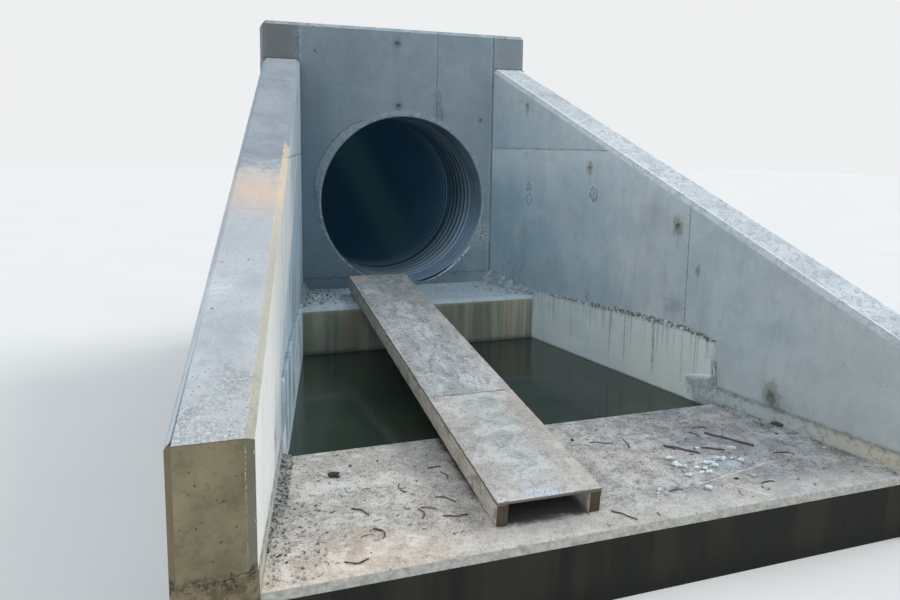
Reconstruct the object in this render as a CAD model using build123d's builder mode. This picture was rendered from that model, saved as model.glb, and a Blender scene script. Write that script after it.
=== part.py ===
from build123d import *
import math
import os

# Culvert headwall: an in-situ concrete outfall with splayed wing walls, a step under the
# pipe mouth, a stilling basin, an apron with a toe wall, and a plank gangway laid over
# the basin. X runs across the channel, -Y downstream, Z up from the underside.
# The origin is on the centreline, in the plane of the headwall's front face.

# Driving dimensions, in millimetres and degrees

# Corrugated steel culvert pipe
pipe_inner_radius = 900.0
pipe_offset = 40.0
pipe_axis_height = 1725.0
sheet_thickness = 4.0
corrugation_pitch = 125.0
corrugation_depth = 25.0
corrugation_count = 6
grout_width = 52.0
grout_gap_width = 12.0
grout_gap_depth = 60.0
grout_gap_start = -71.0
grout_gap_end = -47.0

# Headwall
parapet_height = 370.0
headwall_thickness = 350.0
headwall_kicker_above_step = 121.0
headwall_joint_x = 400.0
chamfer_size = 35.0

# Wing walls
channel_half_width = 1063.0
wing_length = 4704.0
wing_splay = 10.2
wing_thickness = 355.0
wing_height_at_headwall = 3170.0
wing_height_at_end = 1120.0
wing_kicker_height = 502.0
wing_kicker_proud = 6.0
wing_joint_distance = 2880.0
left_lift_height = 2225.0
right_lift_height = 2305.0

# Outfall step and mortar haunches
step_below_invert = 35.0
step_depth = 880.0
haunch_width = 110.0
haunch_height_rear = 112.0
haunch_height_front = 50.0
haunch_ledge = 0.33

# Stilling basin
basin_floor_thickness = 200.0
basin_end_wall_thickness = 250.0
lining_thickness = 25.0
lining_setback = 44.0
lining_height_rear = 835.0
lining_height_front = 915.0

# Apron and toe wall
apron_height = 400.0
apron_length = 1388.0
apron_setback = 32.0
apron_slab_thickness = 58.0
toe_wall_thickness = 250.0
fillet_length = 1080.0
fillet_width = 62.0
fillet_height_rear = 26.0
fillet_height_front = 6.0

# Plank gangway
gangway_width = 600.0
gangway_overhang = 519.0
gangway_front_x = -714.0
gangway_setback = 192.0
gangway_turn = 1.0
joist_width = 68.0
joist_depth = 122.0
deck_thickness = 18.0
front_deck_length = 1260.0
deck_gap = 3.0

os.makedirs("parts", exist_ok=True)


def finish(piece, label):
    """Label a finished piece and write it under its own name."""
    piece.part.label = label
    export_step(piece.part, f"parts/{label}.step")


# Places worked out from the driving dimensions

step_height = pipe_axis_height - pipe_inner_radius - step_below_invert
headwall_height = wing_height_at_headwall + parapet_height
headwall_kicker_height = step_height + headwall_kicker_above_step
splay_slope = math.tan(math.radians(wing_splay))
splay_cosine = math.cos(math.radians(wing_splay))
wing_thickness_across = wing_thickness / splay_cosine
lining_thickness_across = lining_thickness / splay_cosine
kicker_gap = wing_kicker_proud / splay_cosine
wing_fall = (wing_height_at_headwall - wing_height_at_end) / wing_length
outer_half_width = channel_half_width + wing_thickness_across
apron_front_distance = wing_length - apron_setback
basin_end_distance = apron_front_distance - apron_length
collar_radius = pipe_inner_radius + sheet_thickness
grout_radius = collar_radius + grout_width


def inner_face_x(distance):
    """Half width of the channel at a distance in front of the headwall."""
    return channel_half_width + distance * splay_slope


def pipe_plane(distance):
    """Plane across the pipe, facing upstream, at a distance behind the headwall's face."""
    return Plane(
        origin=(pipe_offset, distance, pipe_axis_height), x_dir=(-1, 0, 0), z_dir=(0, 1, 0)
    )


def cut_pipe_way():
    """Cut the round way for the pipe through the headwall piece being built."""
    with BuildSketch(pipe_plane(0)) as way:
        Circle(grout_radius)
    extrude(way.sketch, amount=headwall_thickness, mode=Mode.SUBTRACT)


def channel_block(label, near, far, bottom, top):
    """Block that fills the channel between the wing walls' kickers, from near to far."""
    half_near = inner_face_x(near) - kicker_gap
    half_far = inner_face_x(far) - kicker_gap
    with BuildPart() as block:
        with BuildSketch(Plane.XY.offset(bottom)):
            with BuildLine():
                Polyline(
                    (-half_near, -near),
                    (half_near, -near),
                    (half_far, -far),
                    (-half_far, -far),
                    close=True,
                )
            make_face()
        extrude(amount=top - bottom)
    finish(block, label)


# Headwall: four bays and a kicker

def headwall_bay(label, left, right, end_side=0):
    """Upper headwall between two vertical joints, over the kicker.

    end_side is -1 or 1 for a bay that ends over a wing wall: its free end stands clear
    of the wing top, so all the edges there carry the formwork's chamfer.
    """
    rear = headwall_thickness
    shoulder = wing_height_at_headwall
    width = right - left
    with BuildPart() as bay:
        with BuildSketch(Plane.XY.offset(shoulder)):
            with Locations(((left + right) / 2, rear / 2)):
                Rectangle(width, rear)
        extrude(amount=headwall_height - shoulder)
        top_edges = bay.faces().sort_by(Axis.Z)[-1].edges()
        long_edges = top_edges.filter_by(Axis.X)
        if end_side:
            ends = top_edges.filter_by(Axis.Y).sort_by(Axis.X)
            posts = bay.edges().filter_by(Axis.Z).group_by(Axis.X)
            side = 0 if end_side < 0 else -1
            chamfer(long_edges + [ends[side]] + posts[side], chamfer_size)
        else:
            chamfer(long_edges, chamfer_size)
        with BuildSketch(Plane.XY.offset(headwall_kicker_height)):
            with Locations(((left + right) / 2, rear / 2)):
                Rectangle(width, rear)
        extrude(amount=shoulder - headwall_kicker_height)
        cut_pipe_way()
    finish(bay, label)


headwall_bay("headwall_left_end", -outer_half_width, -channel_half_width, -1)
headwall_bay("headwall_left_bay", -channel_half_width, headwall_joint_x)
headwall_bay("headwall_right_bay", headwall_joint_x, channel_half_width)
headwall_bay("headwall_right_end", channel_half_width, outer_half_width, 1)

with BuildPart() as headwall_kicker:
    with BuildSketch():
        with Locations((0, headwall_thickness / 2)):
            Rectangle(2 * outer_half_width, headwall_thickness)
    extrude(amount=headwall_kicker_height)
    cut_pipe_way()
finish(headwall_kicker, "headwall_kicker")


# Wing walls: kicker, two lower bays and an upper lift on each side

def wing_piece(label, side, near, far, bottom, top, proud=0.0):
    """Part of a wing wall between two distances and two levels.

    The whole wall is formed first, with its falling top and its chamfers, and the lift
    is split out of it, so that neighbouring lifts share their joint faces.
    """
    start = channel_half_width - proud / splay_cosine
    shift = wing_length * splay_slope
    with BuildPart() as piece:
        with BuildSketch():
            with BuildLine():
                Polyline(
                    (start, 0),
                    (outer_half_width, 0),
                    (outer_half_width + shift, -wing_length),
                    (start + shift, -wing_length),
                    close=True,
                )
            make_face()
        extrude(amount=wing_height_at_headwall)
        fall = math.atan(wing_fall)
        top_plane = Plane(
            origin=(0, 0, wing_height_at_headwall),
            x_dir=(1, 0, 0),
            z_dir=(0, -math.sin(fall), math.cos(fall)),
        )
        split(bisect_by=top_plane, keep=Keep.BOTTOM)
        top_face = piece.faces().sort_by(Axis.Z)[-1]
        rails = [e for e in top_face.edges() if abs(e.tangent_at(0).Y) > 0.5]
        posts = piece.edges().filter_by(Axis.Z).sort_by(Axis.Y)[:2]
        chamfer(rails + posts, chamfer_size)
        split(bisect_by=Plane.XY.offset(bottom), keep=Keep.TOP)
        split(bisect_by=Plane.XY.offset(top), keep=Keep.BOTTOM)
        split(bisect_by=Plane.XZ.offset(near), keep=Keep.TOP)
        split(bisect_by=Plane.XZ.offset(far), keep=Keep.BOTTOM)
        if side < 0:
            mirror(about=Plane.YZ, mode=Mode.REPLACE)
    finish(piece, label)


for side_name, side, lift in (("left", -1, left_lift_height), ("right", 1, right_lift_height)):
    above = wing_height_at_headwall + chamfer_size
    beyond = wing_length + chamfer_size
    wing_piece(f"{side_name}_wing_kicker", side, 0, beyond, 0, wing_kicker_height,
               wing_kicker_proud)
    wing_piece(f"{side_name}_wing_lower_lift", side, 0, wing_joint_distance,
               wing_kicker_height, lift)
    wing_piece(f"{side_name}_wing_upper_lift", side, 0, wing_joint_distance, lift, above)
    wing_piece(f"{side_name}_wing_front_bay", side, wing_joint_distance, beyond,
               wing_kicker_height, above)


# Culvert pipe: plain end band through the wall, corrugated barrel behind it, grout round it

with BuildPart() as pipe_end_band:
    with BuildSketch(pipe_plane(0)):
        Circle(collar_radius)
        Circle(pipe_inner_radius, mode=Mode.SUBTRACT)
    extrude(amount=headwall_thickness)
finish(pipe_end_band, "pipe_end_band")

with BuildPart() as corrugated_pipe:
    # The sheet's waves, with an inward crest in the middle of each pitch
    waves = []
    for half_pitch in range(2 * corrugation_count + 1):
        depth = 0 if half_pitch % 2 else corrugation_depth
        waves.append((headwall_thickness + half_pitch * corrugation_pitch / 2, depth))
    inner = [(y, pipe_axis_height + pipe_inner_radius + depth) for y, depth in waves]
    outer = [(y, pipe_axis_height + collar_radius + depth) for y, depth in waves]
    with BuildSketch(Plane.YZ.offset(pipe_offset)):
        with BuildLine():
            Polyline(*inner, *reversed(outer), close=True)
        make_face()
    revolve(axis=Axis((pipe_offset, 0, pipe_axis_height), (0, 1, 0)))
finish(corrugated_pipe, "corrugated_pipe")

with BuildPart() as pipe_grout_ring:
    with BuildSketch(pipe_plane(0)):
        Circle(grout_radius)
        Circle(collar_radius, mode=Mode.SUBTRACT)
    extrude(amount=headwall_thickness)
    # Open crescent between the pipe's end and the grout, low on the right
    with BuildSketch(pipe_plane(0)):
        with BuildLine():
            gap_arc = CenterArc(
                (0, 0), collar_radius, 180 - grout_gap_start, grout_gap_start - grout_gap_end
            )
            middle = 180 - (grout_gap_start + grout_gap_end) / 2
            reach = collar_radius + grout_gap_width
            crown = (reach * math.cos(math.radians(middle)), reach * math.sin(math.radians(middle)))
            ThreePointArc(gap_arc @ 0, crown, gap_arc @ 1)
        make_face()
    extrude(amount=grout_gap_depth, mode=Mode.SUBTRACT)
finish(pipe_grout_ring, "pipe_grout_ring")


# Step, basin and apron between the wing walls

toe_rear = apron_front_distance - toe_wall_thickness
basin_wall_front = basin_end_distance + basin_end_wall_thickness
apron_underside = apron_height - apron_slab_thickness

with BuildPart() as outfall_step:
    # The step narrows below the kicker's top, where the kickers stand proud of the walls
    for bottom, top, gap in (
        (0, wing_kicker_height, kicker_gap),
        (wing_kicker_height, step_height, 0),
    ):
        with BuildSketch(Plane.XY.offset(bottom)):
            with BuildLine():
                Polyline(
                    (-inner_face_x(0) + gap, 0),
                    (inner_face_x(0) - gap, 0),
                    (inner_face_x(step_depth) - gap, -step_depth),
                    (-inner_face_x(step_depth) + gap, -step_depth),
                    close=True,
                )
            make_face()
        extrude(amount=top - bottom)
    step_edges = outfall_step.faces().sort_by(Axis.Z)[-1].edges().filter_by(Axis.X)
    chamfer(step_edges.sort_by(Axis.Y)[0], chamfer_size)
finish(outfall_step, "outfall_step")

channel_block("basin_floor", step_depth, basin_end_distance, 0, basin_floor_thickness)
channel_block("basin_end_wall", basin_end_distance, basin_wall_front, 0, apron_underside)
channel_block("apron_bed", basin_wall_front, toe_rear, 0, apron_underside)
channel_block("toe_wall", toe_rear, apron_front_distance, 0, apron_underside)
channel_block("apron_slab", basin_end_distance, apron_front_distance, apron_underside,
              apron_height)


# Pieces along the wings' inner faces, made on the right and mirrored to the left

def basin_lining(label, side):
    """Thin concrete lining cast against a wing wall and its kicker, over the basin."""
    far = basin_end_distance - lining_setback
    face = kicker_gap + lining_thickness_across
    with BuildPart() as lining:
        for bottom, top, back in (
            (basin_floor_thickness, wing_kicker_height, kicker_gap),
            (wing_kicker_height, lining_height_front, 0),
        ):
            with BuildSketch(Plane.XY.offset(bottom)):
                with BuildLine():
                    Polyline(
                        (inner_face_x(step_depth) - face, -step_depth),
                        (inner_face_x(step_depth) - back, -step_depth),
                        (inner_face_x(far) - back, -far),
                        (inner_face_x(far) - face, -far),
                        close=True,
                    )
                make_face()
            extrude(amount=top - bottom)
        rise = math.atan((lining_height_front - lining_height_rear) / (far - step_depth))
        rim = Plane(
            origin=(0, -step_depth, lining_height_rear),
            x_dir=(1, 0, 0),
            z_dir=(0, math.sin(rise), math.cos(rise)),
        )
        split(bisect_by=rim, keep=Keep.BOTTOM)
        if side < 0:
            mirror(about=Plane.YZ, mode=Mode.REPLACE)
    finish(lining, label)


def mortar_bank(label, side, near, far, level, width, height_near, height_far, inset, ledge):
    """Bank of mortar along a wing's foot, of one slope, its height changing on the way.

    The block it is cut from stands on a level, inset from the wing's inner face. width is
    the bank's foot at the near end, and ledge the share of it that is flat on top.
    """
    face_near = inner_face_x(near) - inset
    face_far = inner_face_x(far) - inset
    width_far = width * height_far / height_near
    with BuildPart() as bank:
        with BuildSketch(Plane.XY.offset(level)):
            with BuildLine():
                Polyline(
                    (face_near - width, -near),
                    (face_near, -near),
                    (face_far, -far),
                    (face_far - width_far, -far),
                    close=True,
                )
            make_face()
        extrude(amount=max(height_near, height_far))
        foot = Vector(face_near - width, -near, level)
        foot_far = Vector(face_far - width_far, -far, level)
        crest = Vector(face_near - ledge * width, -near, level + height_near)
        slope = (foot_far - foot).cross(crest - foot)
        split(bisect_by=Plane(origin=foot, x_dir=foot_far - foot, z_dir=slope),
              keep=Keep.BOTTOM)
        if ledge:
            crest_far = Vector(crest.X, -far, level + height_far)
            top = Vector(1, 0, 0).cross(crest - crest_far)
            split(bisect_by=Plane(origin=crest, x_dir=(1, 0, 0), z_dir=top),
                  keep=Keep.BOTTOM)
        if side < 0:
            mirror(about=Plane.YZ, mode=Mode.REPLACE)
    finish(bank, label)


for side_name, side in (("left", -1), ("right", 1)):
    basin_lining(f"{side_name}_basin_lining", side)
    mortar_bank(f"{side_name}_corner_haunch", side, 0, step_depth - chamfer_size, step_height,
                haunch_width, haunch_height_rear, haunch_height_front, 0, haunch_ledge)
mortar_bank("left_apron_fillet", -1, basin_end_distance, basin_end_distance + fillet_length,
            apron_height, fillet_width, fillet_height_rear, fillet_height_front, kicker_gap, 0)


# Plank gangway, leaning from the apron on the step's front edge

contact_distance = step_depth - chamfer_size
gangway_front_distance = apron_front_distance - gangway_setback
gangway_run = gangway_front_distance - contact_distance
gangway_rise = math.atan((step_height - apron_height) / gangway_run)
turn = math.radians(gangway_turn)
gangway_length = gangway_run / (math.cos(gangway_rise) * math.cos(turn)) + gangway_overhang
across = Vector(math.cos(turn), -math.sin(turn), 0)
uphill = Vector(
    math.sin(turn) * math.cos(gangway_rise),
    math.cos(turn) * math.cos(gangway_rise),
    math.sin(gangway_rise),
)
gangway_plane = Plane(
    origin=(gangway_front_x, -gangway_front_distance, apron_height),
    x_dir=across,
    z_dir=across.cross(uphill),
)
for label, offset in (("gangway_left_joist", 0), ("gangway_right_joist",
                                                  gangway_width - joist_width)):
    with BuildPart() as joist:
        with BuildSketch(gangway_plane):
            with Locations((offset, 0)):
                Rectangle(joist_width, gangway_length, align=(Align.MIN, Align.MIN))
        extrude(amount=joist_depth)
    finish(joist, label)

rear_deck_start = front_deck_length + deck_gap
for label, start, length in (
    ("gangway_front_deck", 0, front_deck_length),
    ("gangway_rear_deck", rear_deck_start, gangway_length - rear_deck_start),
):
    with BuildPart() as deck:
        with BuildSketch(gangway_plane.offset(joist_depth)):
            with Locations((0, start)):
                Rectangle(gangway_width, length, align=(Align.MIN, Align.MIN))
        extrude(amount=deck_thickness)
    finish(deck, label)
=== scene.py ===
import math
import random
from functools import partial
from itertools import product

import bmesh
import bpy
from mathutils import Matrix, Vector, noise


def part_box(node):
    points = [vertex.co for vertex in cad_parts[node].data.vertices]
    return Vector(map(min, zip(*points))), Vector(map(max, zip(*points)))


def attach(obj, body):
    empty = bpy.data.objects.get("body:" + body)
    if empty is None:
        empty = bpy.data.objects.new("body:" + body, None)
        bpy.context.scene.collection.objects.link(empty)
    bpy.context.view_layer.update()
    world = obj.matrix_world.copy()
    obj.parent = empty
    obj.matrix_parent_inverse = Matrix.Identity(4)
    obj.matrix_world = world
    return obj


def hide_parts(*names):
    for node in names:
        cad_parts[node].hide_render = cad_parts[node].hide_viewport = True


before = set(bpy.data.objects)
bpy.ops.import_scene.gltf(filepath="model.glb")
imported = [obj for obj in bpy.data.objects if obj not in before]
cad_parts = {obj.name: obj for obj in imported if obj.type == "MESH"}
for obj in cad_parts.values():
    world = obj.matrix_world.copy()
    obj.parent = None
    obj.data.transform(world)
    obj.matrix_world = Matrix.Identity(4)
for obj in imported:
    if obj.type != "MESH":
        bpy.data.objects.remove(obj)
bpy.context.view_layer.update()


# The headwall stands across the channel: reinforced concrete, cast between plywood forms on a
# kicker of its own. The form ties left round holes, and grout was pressed into the joint beside
# the pipe.

headwall_nodes = (
    "headwall_left_end", "headwall_left_bay", "headwall_right_bay", "headwall_right_end",
    "headwall_kicker",
)
channel_half_width = -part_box("headwall_left_bay")[0].x
headwall_joint_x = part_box("headwall_left_bay")[1].x
headwall_kicker_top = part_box("headwall_kicker")[1].z
headwall_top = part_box("headwall_left_bay")[1].z
headwall_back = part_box("headwall_left_bay")[1].y
wing_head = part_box("right_wing_upper_lift")[1].z
headwall_ties = (  # across, level, radius
    (-0.045, 3.385, 0.020),
    (-0.028, 2.738, 0.022),
    (-0.910, 3.266, 0.009),
    (0.911, 2.612, 0.012),
)
tie_hole_depth = 0.012
cutter_proud = 0.01
arris_radius = 0.003
chamfer_leg = 0.035
form_sheet_wide, form_sheet_tall = 1.22, 1.83
chips_per_metre, chip_size, chip_margin = 9, 0.012, 0.1
mouth_grout_radius = 0.968
fan_top, fan_foot = 2.95, 2.55


class Shade:
    """A socket of a shader tree. Arithmetic on it adds Math nodes, add() makes any other."""

    def __init__(self, tree, socket):
        self.tree = tree
        self.socket = socket

    def add(self, kind, settings=None, sockets=None, output=0):
        node = self.tree.nodes.new("ShaderNode" + kind)
        for name, value in (settings or {}).items():
            setattr(node, name, value)
        for name, value in (sockets or {}).items():
            if isinstance(value, Shade):
                self.tree.links.new(value.socket, node.inputs[name])
            else:
                node.inputs[name].default_value = value
        return Shade(self.tree, node.outputs[output])

    def math(self, operation, first, second=0.0):
        return self.add("Math", {"operation": operation}, {0: first, 1: second})

    def vector(self, operation, other=(0, 0, 0), output=0):
        return self.add("VectorMath", {"operation": operation}, {0: self, 1: other}, output)

    def scaled(self, *shares):
        return self.vector("MULTIPLY", shares)

    def minus(self, point):
        return self.vector("SUBTRACT", tuple(point))

    def dot(self, way):
        return self.vector("DOT_PRODUCT", tuple(way), 1)

    def length(self):
        return self.vector("LENGTH", output=1)

    def axes(self):
        return [self.add("SeparateXYZ", None, {0: self}, axis) for axis in range(3)]

    def __add__(self, other):
        return self.math("ADD", self, other)

    def __sub__(self, other):
        return self.math("SUBTRACT", self, other)

    def __rsub__(self, other):
        return self.math("SUBTRACT", other, self)

    def __mul__(self, other):
        return self.math("MULTIPLY", self, other)

    def __truediv__(self, other):
        return self.math("DIVIDE", self, other)

    def __abs__(self):
        return self.math("ABSOLUTE", self)

    def __or__(self, other):
        return self.math("MAXIMUM", self, other)

    __radd__ = __add__
    __rmul__ = __mul__


def paint(red, green, blue):
    """A colour as it looks, from 0 to 255, in the linear values that a shader takes."""
    return tuple(((c / 255 + 0.055) / 1.055) ** 2.4 for c in (red, green, blue)) + (1.0,)


def cloud(place, scale, detail=4.0, rough=0.55, wander=0.0):
    """Noise from about 0 to 1, with scale waves to the metre."""
    raw = place.add("TexNoise", None, {
        "Vector": place, "Scale": scale, "Detail": detail, "Roughness": rough,
        "Distortion": wander,
    })
    return ease(raw, 0.3, 0.7)


def ease(value, low, high):
    """0 where the value is at low and 1 where it is at high, with a soft change between."""
    return value.add("MapRange", {"interpolation_type": "SMOOTHSTEP"}, {
        "Value": value, "From Min": low, "From Max": high,
    })


def mix(factor, first, second):
    """The first colour where the factor is 0, the second where it is 1, as tones or shades."""
    first, second = (c if isinstance(c, Shade) else paint(*c) for c in (first, second))
    return factor.add("Mix", {"data_type": "RGBA"}, {0: factor, 6: first, 7: second}, 2)


def coats(colour, *layers):
    """The colour under thin coats, each laid over the last with its mask and its tone."""
    for mask, tone in layers:
        colour = mix(mask, colour, tone)
    return colour


def pits(place, scale, radius):
    """1 inside scattered round pits of that radius, in cells of 1/scale."""
    reach = place.add("TexVoronoi", None, {"Vector": place, "Scale": scale})
    return ease(reach, radius * scale, radius * scale * 0.6)


def spot(place, centre, radius, soft=0.4, ragged=None):
    """1 within the radius of a centre, fading over soft times the radius."""
    reach = place.vector("DISTANCE", centre, output=1)
    if ragged:
        reach = reach + ragged
    return ease(reach, radius * (1 + soft), radius * (1 - soft))


def band(value, middle, half_width, soft=0.5):
    """1 where the value is within half_width of the middle."""
    return ease(abs(value - middle), half_width * (1 + soft), half_width * (1 - soft))


def new_finish(name):
    """A material, and the place of its surface in the frame's metres."""
    material = bpy.data.materials.new(name)
    material.use_nodes = True
    tree = material.node_tree
    return material, Shade(tree, tree.nodes.new("ShaderNodeTexCoord").outputs["Object"])


def facing(place):
    """The across, along and up parts of the surface's normal."""
    return place.add("NewGeometry", output=1).axes()


def wear(material, colour, roughness, height, metallic=0.0):
    """Give the material's shader its colour, roughness and relief in millimetres."""
    shader = material.node_tree.nodes["Principled BSDF"]
    relief = height.add("Bump", None, {"Height": height, "Distance": 0.001})
    for name, value in (("Base Color", colour), ("Roughness", roughness),
                        ("Normal", relief), ("Metallic", metallic)):
        if isinstance(value, Shade):
            material.node_tree.links.new(value.socket, shader.inputs[name])
        else:
            shader.inputs[name].default_value = value
    return material


def cast_concrete(place, dark, light, sheets):
    """Colour, and relief in millimetres, of concrete cast against plywood sheets.

    sheets is how many sheets there are to the metre along each axis.
    """
    clouds = cloud(place, 0.9, 6, 0.62)
    mottle = cloud(place, 5.0, 5, 0.62)
    grain = cloud(place, 140.0, 3, 0.6)
    runs = cloud(place.scaled(5.0, 5.0, 0.6), 1.0, 5, 0.65, 0.8)
    sheet = place.add("TexWhiteNoise", None,
                      {"Vector": place.scaled(*sheets).vector("FLOOR")})
    tone = clouds * 0.44 + mottle * 0.26 + grain * 0.12 + runs * 0.11 + sheet * 0.07
    holes = pits(place, 12.0, 0.0045) | pits(place, 31.0, 0.0022)
    colour = mix(holes * 0.75, mix(tone, dark, light), (60, 62, 62))
    height = mottle * 0.5 + grain * 0.35 - holes * 3.0
    return colour, height


def joint_mark(colour, place, away, ragged):
    """Darken a construction joint, and speck the honeycombed concrete beside it."""
    line = band(away + ragged * 0.15, 0.0, 0.005) * (0.25 + cloud(place, 7.0, 4) * 0.5)
    beside = band(away + ragged * 0.6, 0.012, 0.022) * pits(place, 42.0, 0.008)
    colour = mix(band(away + ragged * 0.2, -0.010, 0.005) * 0.2, colour, (176, 184, 188))
    return mix(line | beside * 0.5, colour, (66, 72, 76))


def concrete_roughness(place):
    return 0.8 + cloud(place, 9.0, 4) * 0.15


def drill(points, radii, direction, depth):
    """Cutters for round holes that narrow a little, from points on a face into it."""
    cutters = bmesh.new()
    turn = direction.to_track_quat("Z", "Y").to_matrix().to_4x4()
    for point, radius in zip(points, radii):
        middle = point + direction * (depth / 2 - cutter_proud / 2)
        bmesh.ops.create_cone(
            cutters, cap_ends=True, segments=20, radius1=radius, radius2=radius * 0.7,
            depth=depth + cutter_proud, matrix=Matrix.Translation(middle) @ turn,
        )
    return cutters


def nip(cutters, start, end, count, size, draw):
    """Add cutters that nip small chips out of an arris, at random places along it."""
    run = end - start
    for step in range(count):
        if draw.random() < 0.25:
            continue
        share = (step + draw.uniform(0.2, 0.8)) / count
        radius = size * draw.uniform(0.35, 1.0)
        point = start + run * share
        shape = bmesh.ops.create_icosphere(
            cutters, subdivisions=1, radius=radius,
            matrix=Matrix.Translation(point) @ Matrix.Rotation(draw.uniform(0, 6), 4, run),
        )
        for vert in shape["verts"]:
            vert.co = point + (vert.co - point) * draw.uniform(0.75, 1.25)


def to_mesh(name, shape):
    """A mesh of that name from a shape in the making, which is let go."""
    mesh = bpy.data.meshes.new(name)
    shape.to_mesh(mesh)
    shape.free()
    return mesh


def show(name, mesh, material):
    """An object in the scene with that mesh and material."""
    mesh.materials.clear()
    mesh.materials.append(material)
    thing = bpy.data.objects.new(name, mesh)
    bpy.context.scene.collection.objects.link(thing)
    return thing


def place_piece(name, mesh, material, slot, *nodes):
    """Put a mesh in the scene on the root body, in place of the nodes named."""
    piece = show(name, mesh, material)
    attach(piece, "root")
    if nodes:
        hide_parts(*nodes)
    return piece


def cast_piece(node, material, slot, cutters=None, arris=arris_radius):
    """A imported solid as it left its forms: its arrises softened, its holes and chips cut."""
    shape = bmesh.new()
    shape.from_mesh(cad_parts[node].data)
    bmesh.ops.remove_doubles(shape, verts=shape.verts, dist=1e-5)
    bmesh.ops.dissolve_limit(shape, angle_limit=0.01, verts=shape.verts, edges=shape.edges)
    edges = [e for e in shape.edges if len(e.link_faces) == 2 and e.calc_face_angle() > 0.4]
    bmesh.ops.bevel(shape, geom=edges, offset=arris, segments=2, affect="EDGES", profile=0.5)
    piece = place_piece(node + "_cast", to_mesh(node + "_cast", shape), material, slot, node)
    if cutters:
        cutter = show(node + "_cutters", to_mesh(node + "_cutters", cutters), material)
        cut = piece.modifiers.new("cut", "BOOLEAN")
        cut.operation = "DIFFERENCE"
        cut.object = cutter
        cut.solver = "EXACT"
        bpy.context.view_layer.update()
        ready = piece.evaluated_get(bpy.context.evaluated_depsgraph_get())
        result = bpy.data.meshes.new_from_object(ready)
        piece.modifiers.clear()
        piece.data = result
        bpy.data.objects.remove(cutter)


pipe_low, pipe_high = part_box("pipe_end_band")
pipe_x = (pipe_low.x + pipe_high.x) / 2
pipe_z = (pipe_low.z + pipe_high.z) / 2


def headwall_tone(place):
    """Colour and relief that the wall and the grout round the pipe share, and two noises."""
    x, _, z = place.axes()
    ragged = cloud(place, 26.0, 4, 0.6) * 0.03
    colour, height = cast_concrete(
        place, (98, 112, 122), (130, 144, 152), (1 / form_sheet_wide, 0.0, 1 / form_sheet_tall))
    # Painted shade: darker to the left, and bluer low down
    shaded = ease(x + cloud(place, 1.6, 4) * 0.5, 0.7, -1.0)
    low_shade = ease(x * 0.5 + z * 0.6 + cloud(place, 1.3, 4) * 0.4, 1.9, 0.9)
    smudges = cloud(place, 13.0, 4, 0.6)
    rubbed = ease(x + smudges * 0.12, 0.72, 0.90) * ease(z + smudges * 0.3, 3.0, 1.9)
    colour = coats(
        colour,
        (shaded * 0.35, (83, 98, 110)),
        (low_shade * 0.5, (76, 106, 124)),
        (ease(smudges, 0.7, 1.0) * 0.2, (84, 94, 100)),
        (rubbed * (0.3 + smudges * 0.3), (130, 152, 160)),
    )
    # Grout scraped off the face to the upper left of the pipe, inside a dark outline
    out = place.minus((pipe_x, 0.0, pipe_z)).scaled(1.0, 0.0, 1.0)
    radius = out.length()
    way = out.vector("NORMALIZE")

    def around(degrees, half):
        turn = math.radians(degrees)
        towards = way.dot((math.cos(turn), 0.0, math.sin(turn)))
        return ease(towards, math.cos(math.radians(half)), math.cos(math.radians(half * 0.3)))

    scraped = around(148, 34)
    outline = radius - scraped * 0.045 + ragged * 0.9
    within = ease(outline, mouth_grout_radius, mouth_grout_radius - 0.018) * scraped
    rim = band(outline, mouth_grout_radius, 0.006) * ease(scraped, 0.02, 0.2)
    colour = coats(
        colour,
        (rim * 0.6, (60, 72, 82)),
        (within * 0.3, (150, 164, 172)),
        (within * pits(place, 60.0, 0.006) * 0.6, (72, 84, 92)),
    )
    # Feather edge of grout against the steel, pale and chipped, with a painted highlight along it
    # that is brightest low on the right
    feather = band(radius + ragged * 0.5, 0.922, 0.008)
    low_right = around(-41, 9) | around(-60, 15) * 0.75
    painted_highlight = band(radius + ragged * 0.5, 0.938, 0.008) * low_right \
        * ease(cloud(place, 26.0, 4), 0.15, 0.4)
    crumbled = spot(place, (pipe_x + 0.93, 0.0, pipe_z - 0.42), 0.17, 0.5, ragged * 3)
    crumbled = crumbled * ease(radius, 0.91, 0.93)
    rough = cloud(place, 42.0, 5, 0.75)
    colour = coats(
        colour,
        (feather * (around(205, 60) | around(325, 60)) * smudges * 0.7, (168, 182, 190)),
        (painted_highlight * 0.9, (222, 228, 222)),
        (crumbled * rough * 0.7, (178, 188, 192)),
        (crumbled * ease(rough, 0.45, 0.1) * 0.7, (62, 74, 80)),
    )
    return colour, height + crumbled * rough * 3.0, ragged, smudges


headwall_finish, place = new_finish("headwall_concrete")
x, y, z = place.axes()
colour, height, ragged, smudges = headwall_tone(place)
# The kicker is browner to the right of the pipe. Beyond the wings the wall is duller, with a
# dark line where it meets their heads
kicker = ease(z, headwall_kicker_top + 0.01, headwall_kicker_top - 0.01)
buff = kicker * ease(x + cloud(place, 5.0, 4) * 0.3, 0.65, 1.05)
seam = band(z + ragged * 0.9, headwall_kicker_top + 0.010, 0.010) * ease(smudges, 0.35, 0.7)
in_front = ease(y, 0.060, 0.045)
beyond_left = ease(x, -channel_half_width, -channel_half_width - 0.09) * in_front
beyond_right = ease(x, channel_half_width, channel_half_width + 0.09) * in_front
beside = ease(abs(x), channel_half_width, channel_half_width + 0.01) * in_front
colour = coats(
    colour,
    (buff * 0.3, (138, 150, 150)),
    (band(z, headwall_kicker_top, 0.006) * 0.35 | seam * 0.6, (54, 66, 72)),
    (kicker * ease(smudges, 0.5, 0.9) * 0.35, (92, 108, 106)),
    (beyond_left * 0.65, (84, 84, 78)),
    (beyond_right * 0.4, (112, 114, 114)),
    (beside * band(z + ragged * 0.3, wing_head + 0.008, 0.007) * 0.65, (48, 58, 66)),
)
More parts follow.
